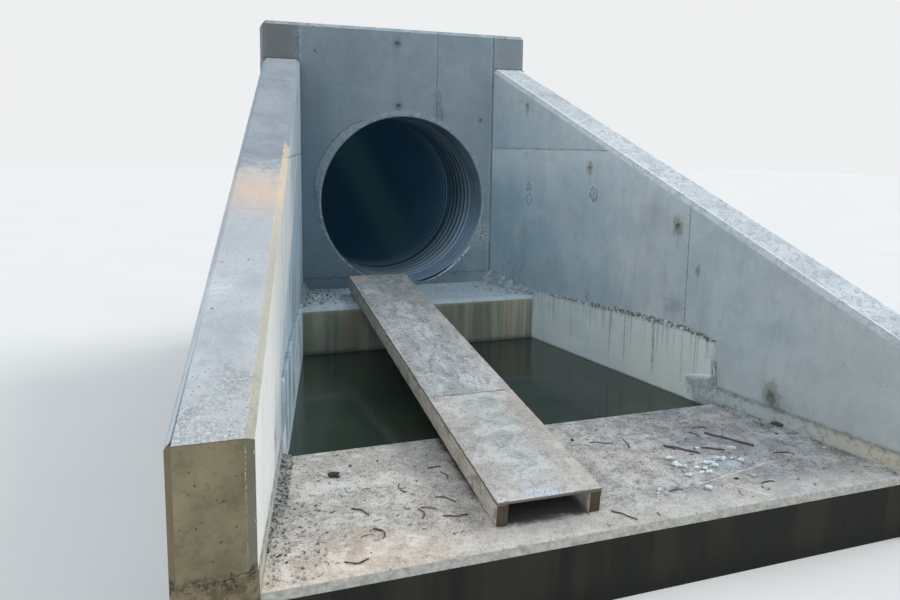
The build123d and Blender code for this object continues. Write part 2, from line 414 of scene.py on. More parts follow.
# Grout pressed into the joint over the pipe fans out down to it, with a dark edge
lean = ease(z, fan_top, fan_foot)
sideways = abs(x + ragged * 1.2 - headwall_joint_x - 0.020 - lean * 0.018)
fan = sideways - lean * 0.022
within = ease(z, fan_top, fan_top - 0.05) * ease(z, fan_foot - 0.15, fan_foot - 0.05)
in_fan = ease(fan, 0.026, 0.014) * within
pitted = pits(place, 60.0, 0.007)
height = height - in_fan * cloud(place, 60.0, 4) * 3.0
colour = coats(
    colour,
    (in_fan * (0.15 + pitted * 0.6), (74, 84, 90)),
    (band(fan, 0.012, 0.006) * within * pitted * 0.5, (168, 180, 186)),
    (band(fan, 0.026, 0.007) * within * 0.5, (62, 74, 84)),
)
colour = joint_mark(colour, place, x - headwall_joint_x, ragged)
# Corners: honeycombed on the left, a dark joint with a pale grout line on the right
over_wings = ease(z, 3.16, 3.2)
corner = band(x + ragged * 0.6, -channel_half_width - 0.012, 0.022) * over_wings
pale_line = band(x + ragged * 0.6, -channel_half_width + 0.016, 0.006) * over_wings
right_joint = band(x + ragged * 0.3, channel_half_width - 0.010, 0.009)
height = height - corner * pitted * 5.0
colour = coats(
    colour,
    (corner * (0.15 + pitted * 0.6), (66, 72, 74)),
    (pale_line * 0.5, (150, 156, 156)),
    (band(x + ragged * 0.4, channel_half_width - 0.026, 0.007) * 0.4, (150, 162, 168)),
    (right_joint * (0.2 + cloud(place, 5.0, 4) * 0.45), (48, 60, 68)),
)
# Tie holes with grout rubbed over them: soft dark rings, and runs of slurry below
for across, level, radius in headwall_ties:
    centre = (across, 0.0, level)
    run = band(x + ragged * 0.4, across, radius * 0.8) * ease(z, level, level - 0.01) \
        * ease(z, level - 0.2, level - 0.02)
    colour = coats(
        colour,
        (spot(place, centre, radius * 3.4, 0.45, ragged * 1.2) * 0.45, (74, 86, 92)),
        (spot(place, centre, radius * 1.7, 0.4, ragged * 0.4) * 0.6, (60, 70, 74)),
        (run * 0.18, (84, 92, 94)),
    )
# Paler top
nz = facing(place)[2]
colour = mix(ease(nz, 0.4, 0.8) * 0.8, colour, mix(smudges, (118, 128, 134), (158, 168, 176)))
wear(headwall_finish, colour, concrete_roughness(place), height)

inward = Vector((0, 1, 0))
for node in headwall_nodes:
    low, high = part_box(node)
    here = [t for t in headwall_ties if low.x < t[0] < high.x and low.z < t[1] < high.z]
    cutters = drill([Vector((t[0], 0, t[1])) for t in here], [t[2] for t in here], inward,
                    tie_hole_depth)
    if high.z > headwall_top - 0.001:
        arris_level = high.z - chamfer_leg
        nip(cutters, Vector((low.x + chip_margin, 0, arris_level)),
            Vector((high.x - chip_margin, 0, arris_level)),
            int((high.x - low.x) * chips_per_metre), chip_size, random.Random(node))
    cast_piece(node, headwall_finish, "headwall_concrete", cutters)


# The wing walls splay out from the headwall and fall towards their free ends. Each was cast in
# lifts with a stop-end joint, its arrises chamfered by fillets in the forms, its top trowelled.

wing_joint_distance = -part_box("right_wing_front_bay")[1].y
splay = (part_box("right_wing_front_bay")[0].x - channel_half_width) / wing_joint_distance
splay_angle = math.atan(splay)
wing_end_distance = -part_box("right_wing_front_bay")[0].y
kicker_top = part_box("right_wing_kicker")[1].z
kicker_proud = channel_half_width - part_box("right_wing_kicker")[0].x
wing_thickness = 0.355
wing_drop = 0.37  # from the headwall's top to the wings' heads
lining_top_front = 0.918
end_chips, end_chip_size = 7, 0.011
blow_holes, blow_hole_top, blow_hole_apart = 18, 1.05, 0.02
wing_pieces = ("kicker", "lower_lift", "upper_lift", "front_bay")
right_wing_ties = (  # distance from the headwall, level, radius
    (0.647, 2.743, 0.016),
    (1.662, 2.138, 0.018),
    (2.758, 1.715, 0.020),
    (2.984, 1.383, 0.012),
    (3.707, 0.575, 0.030),
)
left_wing_ties = ((0.650, 2.740, 0.016), (1.680, 2.120, 0.018), (3.700, 0.700, 0.018))


def inner_x(distance):
    """Half width of the channel at a distance in front of the headwall."""
    return channel_half_width + distance * splay


def on_wing(side, distance, level):
    """A point on the inner face of a wing wall."""
    return Vector((side * inner_x(distance), -distance, level))


def wing_top(place, side, tones, depth, ragged, broad):
    """Colour and relief of a top: dragged across, ridged, pocked, granular near the free end."""
    x, y, _ = place.axes()
    drag = cloud(place.scaled(1.6, 22.0, 1.0), 2.2, 5, 0.65, 0.5)
    drag = drag * ease(cloud(place, 0.9, 3), 0.3, 0.75)
    rear = ease(y + x * 0.25 + cloud(place, 4.0, 5, 0.7) * 0.5, -2.8, -2.3)
    chamfer = ease(facing(place)[2], 0.93, 0.87)
    coarse = cloud(place, 3.2, 6, 0.7)
    fine = cloud(place, 70.0, 4, 0.75)
    ridges = band(cloud(place, 6.0, 5, 0.7, 1.6), 0.5, 0.026)
    gritty = ease(y + coarse * 0.5, -3.9, -4.4)
    specks = pits(place, 36.0, 0.005) * ease(coarse, 0.4, 0.7) | pits(place, 7.0, 0.010)
    dashes = pits(place.scaled(1.0, 0.4, 1.0), 10.0, 0.013) | pits(
        place.scaled(0.5, 1.0, 1.0), 16.0, 0.007)
    dashes = dashes * ease(y + coarse * 0.8, -3.6, -2.2)
    colour = coats(
        mix(coarse * 0.65 + fine * 0.35, *tones),
        (drag * 0.42, (212, 216, 220)),
        (ease(coarse, 0.6, 0.95) * 0.3, (156, 154, 154)),
        (ridges * (0.32 + 0.24 * side), (116, 118, 120)),
        (gritty * ease(fine, 0.5, 0.8) * 0.55, (112, 118, 118)),
        (gritty * ease(fine, 0.4, 0.1) * 0.5, (222, 226, 228)),
        (specks * 0.6, (84, 84, 82)),
        (dashes * (0.35 + 0.3 * side), (96, 102, 110)),
    )
    if side > 0:
        # Painted shade: the chamfers are darker and bluer than the top
        arris = band(depth, 0.040, 0.006) | band(depth, wing_thickness - 0.040, 0.006)
        colour = coats(
            colour,
            (chamfer * 0.65, (153, 162, 170)),
            (arris * (0.3 + fine * 0.4), (232, 238, 242)),
        )
    else:
        # Painted shade over the left top, deepest over the rear and its chamfers, and a painted
        # patch of warm sunlight
        mid_shade = ease(y, -3.6, -3.2) * (1 - rear)
        sunlit_patch = spot(place, tuple(on_wing(side, 2.62, 2.03) - Vector((0.15, 0, 0))), 0.36, 0.8,
                      ragged * 6) * (1 - rear)
        lip = ease(depth + ragged * 0.5, 0.050, 0.042) * ease(y + broad * 0.3, -1.75, -1.95)
        tan = mix(ease(y, -2.4, -3.6), (216, 194, 168), (178, 174, 158))
        colour = coats(
            colour,
            (mid_shade * 0.6, (158, 165, 173)),
            (rear * 0.8, mix(coarse, (107, 115, 127), (135, 142, 152))),
            (rear * chamfer * 0.6, (134, 152, 164)),
            (rear * (pits(place, 13.0, 0.009) | pits(place, 27.0, 0.006)) * 0.6, (88, 93, 102)),
            (sunlit_patch * (0.45 + coarse * 0.4), (202, 174, 151)),
            (lip * (0.55 + coarse * 0.35), tan),
            (lip * ease(fine, 0.6, 0.85) * 0.35, (146, 138, 112)),
        )
    relief = drag * 0.7 + cloud(place, 38.0, 4) * 1.2 + ridges * (0.8 + 0.6 * side) \
        + gritty * fine * 3.0 - specks * 2.5
    return colour, relief


def wing_end(place, depth, ragged):
    """Colour and relief of a free end: filmed with oil, chalky arrises, chamfers in painted shade,
    broken at its foot.
    """
    z = place.axes()[2]
    fine = cloud(place, 70.0, 4, 0.75)
    trowel = cloud(place, 15.0, 6, 0.75)
    arris = ease(abs(facing(place)[1]), 0.9, 0.8)
    chalk = band(depth + ragged * 0.15, 0.039, 0.0028) * ease(fine, 0.45, 0.7)
    chalk = chalk * (0.3 + ease(z, 0.82, 0.92) * 0.7)
    broken = ease(z + ragged * 3, kicker_top + 0.07, kicker_top + 0.02)
    crack = band(z + cloud(place, 11.0, 6, 0.75) * 0.10, kicker_top + 0.055, 0.008)
    # The chamfers are painted darker and greyer, as shade, the outer one browner
    colour = coats(
        mix(cloud(place, 3.0, 6, 0.7), (92, 85, 64), (126, 117, 92)),
        (ease(cloud(place, 17.0, 5, 0.7), 0.65, 0.9) * 0.35, (84, 78, 62)),
        (arris * 0.6, (92, 94, 86)),
        (arris * ease(depth, 0.3, 0.32), (98, 88, 66)),
        (chalk * 0.6, (180, 178, 162)),
        (broken * 0.8, mix(ease(trowel, 0.3, 0.7), (92, 80, 60), (134, 121, 96))),
        (crack * ease(trowel, 0.65, 0.45) * 0.8, (42, 33, 22)),
    )
    return colour, broken * trowel * 12.0 - crack * 5.0


def wing_finish(name, side, tones, top_tones, ties, stains, scars):
    """Concrete of one wing wall, with its own stains (distance, level, radius, strength)."""
    material, place = new_finish(name)
    side_name = name.split("_")[0]
    lift_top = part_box(side_name + "_wing_lower_lift")[1].z
    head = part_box(side_name + "_wing_upper_lift")[1].z
    fall = (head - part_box(side_name + "_wing_front_bay")[1].z) / wing_joint_distance
    x, y, z = place.axes()
    nz = facing(place)[2]
    depth = (abs(x) + y * splay - channel_half_width) * math.cos(splay_angle)
    inside = ease(depth, 0.02, 0.005)
    in_holes = ease(depth, 0.05, 0.04)
    outside = ease(depth, wing_thickness - 0.02, wing_thickness - 0.003)
    colour, height = cast_concrete(place, *tones, (0.0, 1 / form_sheet_wide, 1 / form_sheet_tall))
    ragged = cloud(place, 24.0, 4, 0.6) * 0.03
    broad = cloud(place, 1.1, 5, 0.6)
    if side > 0:
        # Painted shade: bluer near the headwall and low down. Warmer and paler towards the free end
        low_shade = ease(y + broad * 1.0 + z * -0.80, -3.4, -1.1)
        bleached = ease(z, lift_top - 0.60, lift_top - 0.04) * ease(z, lift_top + 0.01, lift_top)
        olive = cloud(place, 2.6, 6, 0.68)
        warm = ease(z + y * fall + broad * 0.5, head - 1.0, head + 0.3)
        colour = coats(
            colour,
            (inside * low_shade * 0.65, (107, 143, 162)),
            (inside * bleached * 0.5, (176, 188, 195)),
            (inside * ease(olive, 0.5, 0.9) * 0.22, (142, 148, 140)),
            (inside * ease(olive, 0.4, 0.1) * 0.2, (138, 156, 172)),
            (inside * warm * 0.35, (168, 168, 166)),
            (inside * ease(y + olive * 0.6, -3.1, -4.4) * 0.4, (138, 138, 132)),
        )
    else:
        # Painted shadow, blue, towards the headwall and low down where the right wing's shadow
        # falls;
        # painted sunlight, pale and cream, above it and towards the free end, with a warm band
        # above the shadow's edge
        shaded = ease(y + broad * 0.6, -2.4, -0.4)
        under = z + y * -fall - head + broad * 0.35
        painted_sunlight = ease(under, -0.75, -0.15) * ease(y, -1.0, -2.6)
        wet_and_shadow = ease(z - y * 0.5 + broad * 0.12, 2.62, 2.50)
        fading_shadow = wet_and_shadow * (1 - ease(y, -2.0, -3.0) * 0.7)
        hem = band(z - y * 0.5 + broad * 0.12, 2.70, 0.035) * ease(z, lift_top, lift_top - 0.02)
        trickle = cloud(place.scaled(0.0, 1.0, 0.05), 11.0, 4, 0.6)
        speckled = wet_and_shadow * ease(z + ragged * 3, 0.60, 0.54) * ease(y, -3.0, -3.2)
        colour = coats(
            colour,
            (inside * shaded * 0.8, (124, 147, 164)),
            (inside * ease(y, -2.9, -4.0) * 0.9, (246, 248, 248)),
            (inside * ease(z, 1.0, 1.35) * 0.2, (196, 198, 196)),
            (inside * painted_sunlight * 0.55, (213, 212, 206)),
            (inside * fading_shadow * 0.7, (146, 170, 189)),
            (inside * hem * 0.4, (236, 220, 200)),
            (inside * fading_shadow * ease(trickle, 0.56, 0.72) * 0.5, (84, 106, 124)),
            (inside * speckled * pits(place, 30.0, 0.010) * 0.8, (54, 60, 62)),
        )
    foot = ease(z + broad * 0.25 - ragged * 3, kicker_top + 0.5, kicker_top + 0.1)
    drips = cloud(place.scaled(3.0, 3.0, 0.35), 3.0, 5, 0.65, 0.6)
    marbled = cloud(place, 3.4, 6, 0.7, 0.3)
    colour = coats(
        colour,
        (inside * foot * 0.2, (150, 150, 142)),
        (inside * ease(drips, 0.6, 1.0) * 0.14, (112, 122, 126)),
        (inside * ease(marbled, 0.45, 0.9) * 0.12, (192, 200, 203)),
        (inside * ease(marbled, 0.4, 0.05) * 0.12, (112, 130, 142)),
        (outside * 0.75, mix(marbled, (122, 132, 136), (158, 165, 166))),
    )
    colour = joint_mark(colour, place, z - lift_top, ragged)
    upright = joint_mark(colour, place, y + wing_joint_distance, ragged)
    colour = mix(ease(z, lining_top_front, lining_top_front + 0.03) | outside, colour, upright)
    for distance, level, radius, strength in stains:
        centre = tuple(on_wing(side, distance, level))
        colour = mix(spot(place, centre, radius, 0.8, ragged * 2) * strength * 0.75, colour,
                     (112, 110, 92))
    # Scars where something was knocked off: rings of dark and pale specks
    for distance, level, tall, wide in scars:
        near = place.minus(on_wing(side, distance, level)).scaled(0.0, 1 / wide, 1 / tall)
        reach = near.length() + cloud(place, 22.0, 4) * 0.5
        crumbs = cloud(place, 62.0, 4, 0.75)
        scar = (band(reach, 1.2, 0.3) | ease(reach, 0.6, 0.4)) * inside
        height = height - scar * crumbs * 2.5
        colour = coats(
            colour,
            (band(reach, 1.55, 0.2) * inside * 0.35, (180, 190, 194)),
            (scar * ease(crumbs, 0.35, 0.6) * 0.65, (78, 90, 96)),
        )
    # Tie holes, with a run of olive form oil under each
    for distance, level, radius in ties:
        centre = tuple(on_wing(side, distance, level))
        reach = place.minus(centre).scaled(0.0, 1.0, 0.6).length() + ragged * 0.9
        run = band(y + ragged * 0.5, -distance, radius * 0.8) * ease(z, level + 0.01, level) \
            * ease(z, level - 0.25, level - 0.03) * inside
        colour = coats(
            colour,
            (ease(reach, radius * 4.8, radius * 0.8) * 0.5 * inside, (112, 112, 90)),
            (band(reach, radius * 2.3, radius * 0.5) * 0.3 * inside, (86, 92, 86)),
            (ease(reach, radius * 1.9, radius * 1.2) * 0.65 * in_holes, (62, 64, 58)),
            (run * 0.25, (104, 104, 88)),
        )
    # Mortar smeared up the face over the corner between the wing and the step
    smeared = spot(place, tuple(on_wing(side, 0.45, 0.80)), 0.42, 0.4, ragged * 5) * inside
    trowel = cloud(place, 15.0, 6, 0.75)
    height = height + smeared * trowel * 6.0
    colour = coats(
        colour,
        (smeared * trowel * 0.5, (132, 146, 154)),
        (smeared * band(trowel, 0.42, 0.05) * 0.7, (60, 74, 82)),
        (smeared * band(trowel, 0.62, 0.04) * 0.5, (172, 184, 190)),
    )
    # Kicker: grey-buff, dirty along its head, rough where the lining stops
    on_kicker = ease(z, kicker_top + 0.004, kicker_top - 0.004) * inside
    scum = band(z + ragged * 0.6, kicker_top + 0.010, 0.015, 0.9) * inside
    colour = coats(
        colour,
        (on_kicker * 0.75, mix(ease(y, -3.7, -4.5), (156, 166, 168), (178, 171, 154))),
        (on_kicker * ease(trowel, 0.5, 0.85) * 0.5, (104, 106, 100)),
        (scum * (0.25 + trowel * 0.5), (84, 90, 86)),
    )
    # The trowelled top, and the free end below it
    top = ease(z + y * -fall, head - 0.060, head - 0.040) * ease(nz, 0.3, 0.6)
    end = ease(y, -wing_end_distance + 0.038, -wing_end_distance + 0.032) * (1 - top)
    top_colour, top_relief = wing_top(place, side, top_tones, depth, ragged, broad)
    end_colour, end_relief = wing_end(place, depth, ragged)
    height = height + top * top_relief + end * end_relief
    colour = mix(end, mix(top, colour, top_colour), end_colour)
    # The outer face is stained brown below its top
    browned = outside * ease(z + y * -0.38 + broad * 0.9, 3.0, 1.9)
    colour = mix(browned * (0.25 + cloud(place, 9.0, 5, 0.65) * 0.4), colour, (126, 104, 92))
    return wear(material, colour, concrete_roughness(place), height)


def wing_cutters(side, node, ties, draw):
    """Cutters for a wing's tie holes, and for the chips along its arrises."""
    low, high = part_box(node)
    here = [t for t in ties if low.y < -t[0] < high.y and low.z < t[1] < high.z]
    into = Vector((side * math.cos(splay_angle), math.sin(splay_angle), 0))
    cutters = drill([on_wing(side, t[0], t[1]) for t in here], [t[2] for t in here], into,
                    tie_hole_depth)
    if node.endswith("front_bay"):
        end = wing_end_distance
        fall = (headwall_top - wing_drop - high.z) / wing_joint_distance
        for inset in (0.0, wing_thickness):
            across = inner_x(end) + inset / math.cos(splay_angle)
            foot = Vector((side * across, -end + chamfer_leg, kicker_top + 0.03))
            head = foot.copy()
            head.z = high.z - fall * (end - wing_joint_distance) - 0.06
            nip(cutters, foot, head, end_chips, end_chip_size, draw)
        # Blow holes in the end face, none of them touching another
        holes = []
        while len(holes) < blow_holes:
            inset = draw.uniform(0.05, wing_thickness - 0.05) / math.cos(splay_angle)
            hole = Vector((side * (inner_x(end) + inset), -end,
                           draw.uniform(kicker_top + 0.03, blow_hole_top)))
            if all((hole - other).length > blow_hole_apart for other in holes):
                holes.append(hole)
                bmesh.ops.create_icosphere(
                    cutters, subdivisions=1, radius=draw.uniform(0.003, 0.007),
                    matrix=Matrix.Translation(hole),
                )
    return cutters


right_wing_stains = (
    (2.758, 1.700, 0.12, 0.25), (1.69, 0.94, 0.05, 0.9), (2.744, 1.04, 0.10, 0.6),
    (2.52, 1.79, 0.16, 0.3), (3.80, 0.50, 0.09, 0.6),
)
left_wing_stains = ((1.9, 1.2, 0.2, 0.3), (3.6, 0.8, 0.16, 0.35))
right_wing_scars = (  # distance, level, half height, half width
    (0.711, 1.900, 0.045, 0.045), (0.717, 1.785, 0.060, 0.050), (1.727, 1.899, 0.062, 0.050),
    (0.641, 2.240, 0.030, 0.030),
)
# The left wing's tones are paler than the right's, as painted sunlight, and its top's darker, as
# painted shade
right_wing_tones = ((141, 154, 162), (174, 183, 187))
left_wing_tones = ((168, 184, 194), (202, 212, 218))
right_top_tones = ((148, 156, 163), (200, 208, 215))
left_top_tones = ((148, 154, 160), (184, 189, 194))
for side_name, side, tones, top_tones, ties, stains, scars in (
    ("left", -1, left_wing_tones, left_top_tones, left_wing_ties, left_wing_stains, ()),
    ("right", 1, right_wing_tones, right_top_tones, right_wing_ties, right_wing_stains,
     right_wing_scars),
):
    finish = wing_finish(side_name + "_wing_concrete", side, tones, top_tones, ties, stains,
                         scars)
    for part in wing_pieces:
        node = f"{side_name}_wing_{part}"
        cast_piece(node, finish, "wing_concrete",
                   wing_cutters(side, node, ties, random.Random(node)))


# The culvert pipe is corrugated galvanised steel. A plain band ends it through the wall, and
# behind the wall the sheet runs in even waves.

pipe_radius = 0.900
sheet = 0.004
wave_pitch = 0.125
wave_depth = 0.025
pipe_columns = 160
rows_per_wave = 8
barrel_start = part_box("corrugated_pipe")[0].y
barrel_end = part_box("corrugated_pipe")[1].y


def on_pipe(angle, radius, y):
    """A point at an angle round the pipe, from the right and upwards, seen from the front."""
    return (pipe_x + radius * math.cos(angle), y, pipe_z + radius * math.sin(angle))


def closed_mesh(name, points, faces, capped=False):
    """A mesh of those faces, all turned outwards, its open ends filled where it is capped."""
    mesh = bpy.data.meshes.new(name)
    mesh.from_pydata(points, [], faces)
    shape = bmesh.new()
    shape.from_mesh(mesh)
    bmesh.ops.recalc_face_normals(shape, faces=shape.faces)
    if capped:
        bmesh.ops.holes_fill(shape, edges=[e for e in shape.edges if e.is_boundary])
        bmesh.ops.recalc_face_normals(shape, faces=shape.faces)
    shape.to_mesh(mesh)
    shape.free()
    return mesh


def skin(name, rows, round_rows=True, round_columns=False, smooth=True, capped=False):
    """A mesh over rows of points, all of one length, its two ends filled where it is capped."""
    points = [point for row in rows for point in row]
    width = len(rows[0])
    height = len(rows)
    faces = []
    for i in range(height if round_columns else height - 1):
        for j in range(width if round_rows else width - 1):
            a, b = i * width, (i + 1) % height * width
            k = (j + 1) % width
            faces.append((a + j, a + k, b + k, b + j))
    mesh = closed_mesh(name, points, faces, capped)
    if smooth:
        mesh.shade_smooth()
    return mesh


def rings(profile):
    """Rings of points round the pipe, one for each (radius, y) of the profile."""
    turns = [2 * math.pi * i / pipe_columns for i in range(pipe_columns)]
    return [[on_pipe(turn, radius, y) for turn in turns] for radius, y in profile]


pipe_finish, place = new_finish("pipe_steel")
x, y, z = place.axes()
spangle = place.add("TexVoronoi", None, {"Vector": place, "Scale": 70.0}, 1).axes()[0]
bloom = cloud(place, 4.0, 5, 0.6)
colour = mix(bloom * 0.6 + spangle * 0.3, (84, 106, 120), (122, 146, 162))
# Rain and silt lie along the invert. Painted shade darkens the sheet further in and away from the
# lower right, where painted light brightens it near the mouth
invert = ease(z + cloud(place, 6.0, 4) * 0.08, pipe_z - pipe_radius * 0.86,
              pipe_z - pipe_radius * 0.98)
in_barrel = 0.25 + ease(y, barrel_start, barrel_start + 0.01) * 0.75
further = ease(y, 0.25, 1.2)
low_right = ease(z - x * 0.5, pipe_z - 0.35, pipe_z - 1.0)
colour = coats(
    colour,
    (invert * 0.5, (112, 124, 126)),
    (further * (0.85 - low_right * 0.25), (34, 56, 70)),
    (low_right * ease(y, 0.75, 0.3) * 0.8, (138, 166, 192)),
    ((1 - low_right) * in_barrel * 0.5, (40, 60, 74)),
)
# Painted highlights on the near side of the crests, and painted shade in the troughs
phase = place.math("FRACT", (y - barrel_start) / wave_pitch)
painted_highlight = band(phase, 0.40, 0.12, 0.8) * in_barrel * (0.5 + low_right * 0.5)
colour = coats(
    colour,
    (painted_highlight * (0.7 - further * 0.35), (168, 192, 206)),
    (ease(abs(phase - 0.5), 0.25, 0.5) * in_barrel * 0.6, (16, 36, 50)),
)
wear(pipe_finish, colour, 0.44 + bloom * 0.2, cloud(place, 50.0, 3) * 0.15, 0.2)

band_start = pipe_low.y
edge_round = 0.001
band_profile = (
    (pipe_radius, barrel_start), (pipe_radius, band_start + edge_round),
    (pipe_radius + edge_round, band_start), (pipe_radius + sheet - edge_round, band_start),
    (pipe_radius + sheet, band_start + edge_round), (pipe_radius + sheet, barrel_start),
)
place_piece("pipe_end_band_steel",
            skin("pipe_end_band", rings(band_profile), round_columns=True, smooth=False),
            pipe_finish, "pipe_steel", "pipe_end_band")

wave_count = round((barrel_end - barrel_start) / wave_pitch)
waves = []
for step in range(wave_count * rows_per_wave + 1):
    swing = 0.5 + 0.5 * math.cos(2 * math.pi * step / rows_per_wave)
    waves.append((swing * wave_depth, barrel_start + step * wave_pitch / rows_per_wave))
barrel_profile = [(pipe_radius + out, y) for out, y in waves]
barrel_profile += [(pipe_radius + sheet + out, y) for out, y in reversed(waves)]
place_piece("corrugated_barrel",
            skin("corrugated_barrel", rings(barrel_profile), round_columns=True),
            pipe_finish, "pipe_steel", "corrugated_pipe")


# Grout fills the space between the pipe and the wall. It was pressed in by hand and trowelled
# over the edge, so its outline is ragged, and it has broken away from the pipe low on the right.

collar_thickness = 0.005
grout_outer = (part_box("pipe_grout_ring")[1].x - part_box("pipe_grout_ring")[0].x) / 2
gap_start, gap_end = math.radians(-82), math.radians(-51)
gap_width, gap_depth = 0.024, 0.10
least_gap, least_thickness, collar_lip, collar_back = 0.0004, 0.0004, 0.002, 0.002
grout_clearance = 0.0002
collar_columns = 300
collar_rows = 9


def collar_reach(angle):
    """How far the smeared grout goes over the wall, beyond the ring."""
    turn = math.degrees(angle) % 360
    wide = 0.004
    for middle, half, extra in ((142, 34, 0.030), (8, 30, 0.012), (325, 34, 0.060)):
        away = abs((turn - middle + 180) % 360 - 180)
        if away < half:
            wide += extra * (0.5 + 0.5 * math.cos(math.pi * away / half))
    rim = Vector(on_pipe(angle, 1.0, 0)) * 7
    return wide * (0.75 + 0.7 * noise.noise(rim) + 0.35 * noise.noise(rim * 3.1)) + 0.003


def collar_section(angle):
    """Points of the grout's section, from inside the wall round its front and back."""
    gap = least_gap
    if gap_start < angle < gap_end:
        share = (angle - gap_start) / (gap_end - gap_start)
        gap += gap_width * math.sin(math.pi * share) ** 0.7
    inner = pipe_radius + sheet + grout_clearance
    points = [(inner, headwall_back), (inner, gap_depth), (inner + gap, gap_depth),
              (inner + gap, 0.004)]
    outer = grout_outer + collar_reach(angle)
    for row in range(collar_rows):
        share = row / (collar_rows - 1)
        radius = inner + gap + collar_lip + (outer - inner - gap - collar_lip) * share
        here = Vector(on_pipe(angle, radius, 0))
        lump = noise.noise(here * 30) * 0.6 + noise.noise(here * 75) * 0.4
        thick = collar_thickness * (1 - share ** 3) * (0.65 + 0.55 * lump) + least_thickness
        points.append((radius, -max(thick, least_thickness)))
    in_wall = grout_outer - 0.0005
    points += [(outer, collar_back), (in_wall, collar_back), (in_wall, headwall_back)]
    return [on_pipe(angle, radius, y) for radius, y in points]


grout_finish, place = new_finish("grout")
colour, height = headwall_tone(place)[:2]
lumps = cloud(place, 18.0, 6, 0.75)
hollow = ease(place.axes()[1], 0.004, 0.02)
# The grout deep in the gap behind the mouth is near black: painted shade
colour = coats(
    colour,
    (ease(lumps, 0.55, 0.9) * 0.3, (160, 172, 180)),
    (ease(lumps, 0.4, 0.1) * 0.3, (76, 88, 96)),
    (hollow * 0.9, (10, 13, 15)),
)
wear(grout_finish, colour, 0.9, height + lumps * 1.4 + cloud(place, 110.0, 3) * 0.5)
angles = [2 * math.pi * i / collar_columns - math.pi for i in range(collar_columns)]
sections = [collar_section(angle) for angle in angles]
place_piece("grout_collar", skin("grout_collar", sections, round_columns=True, smooth=False),
            grout_finish, "mortar", "pipe_grout_ring")


# The outfall step leads from the pipe down into the basin. Its top is rough laitance, and its
# front is streaked by what has run over it.

step_finish, place = new_finish("step_concrete")
x, y, z = place.axes()
step_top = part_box("outfall_step")[1].z
step_front = -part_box("outfall_step")[0].y
crust = cloud(place, 13.0, 6, 0.7)
crumbs = cloud(place, 48.0, 5, 0.8)
strewn = ease(x + crust * 0.5, -0.15, -0.75)
# Painted shade: the lip over the front chamfer is darker, less so on the right
lip = ease(y * -1 + crust * 0.03, step_front - 0.04, step_front - 0.015)
lip = lip * (1 - ease(x, 0.1, 0.5) * 0.5)
rear_corner = ease(x, -0.55, -0.85) * ease(y + crust * 0.12, -0.28, -0.10)
top_colour = coats(
    cast_concrete(place, (150, 170, 184), (186, 202, 212), (0, 0, 0))[0],
    (ease(crust, 0.55, 0.9) * 0.45, (118, 132, 138)),
    (ease(crumbs, 0.5, 0.75) * (0.3 + strewn * 0.6), (62, 76, 84)),
    (ease(crumbs, 0.35, 0.1) * 0.4, (206, 218, 224)),
    (lip * 0.6, mix(crumbs, (112, 122, 124), (176, 190, 196))),
    (rear_corner * 0.55, (78, 92, 92)),
)
streaks = cloud(place.scaled(1.0, 1.0, 0.05), 8.0, 4, 0.55)
broad_streaks = cloud(place.scaled(1.0, 1.0, 0.04), 3.6, 4, 0.6)
tide = ease(z + crust * 0.02, 0.40, 0.355)
front_colour = coats(
    mix(streaks, (109, 116, 105), (139, 144, 131)),
    (ease(x, 0.3, 0.6) * ease(streaks, 0.5, 0.75) * 0.45, (164, 157, 139)),
    (ease(broad_streaks, 0.5, 0.9) * 0.45, (124, 107, 88)),
    (ease(broad_streaks, 0.4, 0.05) * 0.4, (82, 88, 82)),
    (ease(streaks, 0.3, 0.05) * 0.25, (66, 72, 66)),
    (ease(z, step_top - 0.075, step_top - 0.03) * 0.5, (150, 150, 138)),
    (tide * 0.6, (54, 58, 48)),
)
flat = ease(facing(place)[2], 0.35, 0.6)
colour = mix(flat, front_colour, top_colour)
height = crust * (0.4 + flat * 3.0) + cloud(place, 90.0, 3) * 0.6 + streaks * 0.3
wear(step_finish, colour, concrete_roughness(place), height)
draw = random.Random("step")
chips = bmesh.new()
step_half = inner_x(step_front)
for inset, back, down, count, size in ((0.06, 0, chamfer_leg, 26, 0.012),
                                       (0.08, chamfer_leg, 0, 22, 0.011)):
    nip(chips, Vector((-step_half + inset, -step_front + back, step_top - down)),
        Vector((step_half - inset, -step_front + back, step_top - down)), count, size, draw)
cast_piece("outfall_step", step_finish, "basin_concrete", chips, 0.004)


# Mortar haunches close the corners between the step and the wing walls. They were thrown in
# and left rough, with stones showing.

mortar_finish, place = new_finish("rough_mortar")
lumps = cloud(place, 14.0, 6, 0.7)
fine = cloud(place, 70.0, 4, 0.65)
colour = mix(lumps * 0.6 + fine * 0.4, (104, 122, 132), (158, 174, 182))
on_left = ease(place.axes()[0], 0.1, -0.1)
colour = coats(
    colour,
    (band(lumps, 0.4, 0.06) * 0.6, (56, 68, 74)),
    (ease(fine, 0.6, 0.85) * 0.5, (82, 94, 100)),
    (on_left * (0.3 + ease(fine, 0.4, 0.7) * 0.4), (70, 84, 88)),
)
wear(mortar_finish, colour, 0.92, lumps * 4.0 + fine * 1.5)
haunch_rows = 46
haunch_points = 12
haunch_start, haunch_end = 0.001, step_front - chamfer_leg


def haunch_section(side, distance, wide, tall):
    """Section of a haunch: a lumpy bank from the step's top up the face of the wing."""
    face = inner_x(distance)
    bank = []
    for i in range(haunch_points):
        share = i / (haunch_points - 1)
        out = wide * (1 - share) ** 1.3
        up = tall * share ** 0.8
        here = Vector((side * (face - out), -distance, step_top + up))
        lump = noise.noise(here * 17) * 0.6 + noise.noise(here * 45) * 0.4
        grow = 0.016 * lump * math.sin(math.pi * (0.15 + 0.7 * share))
        bank.append(here + Vector((-side * grow, 0, abs(grow))))
    bank.append(Vector((side * face, -distance, step_top + tall)))
    bank.append(Vector((side * face, -distance, step_top)))
    return [tuple(p) for p in bank]


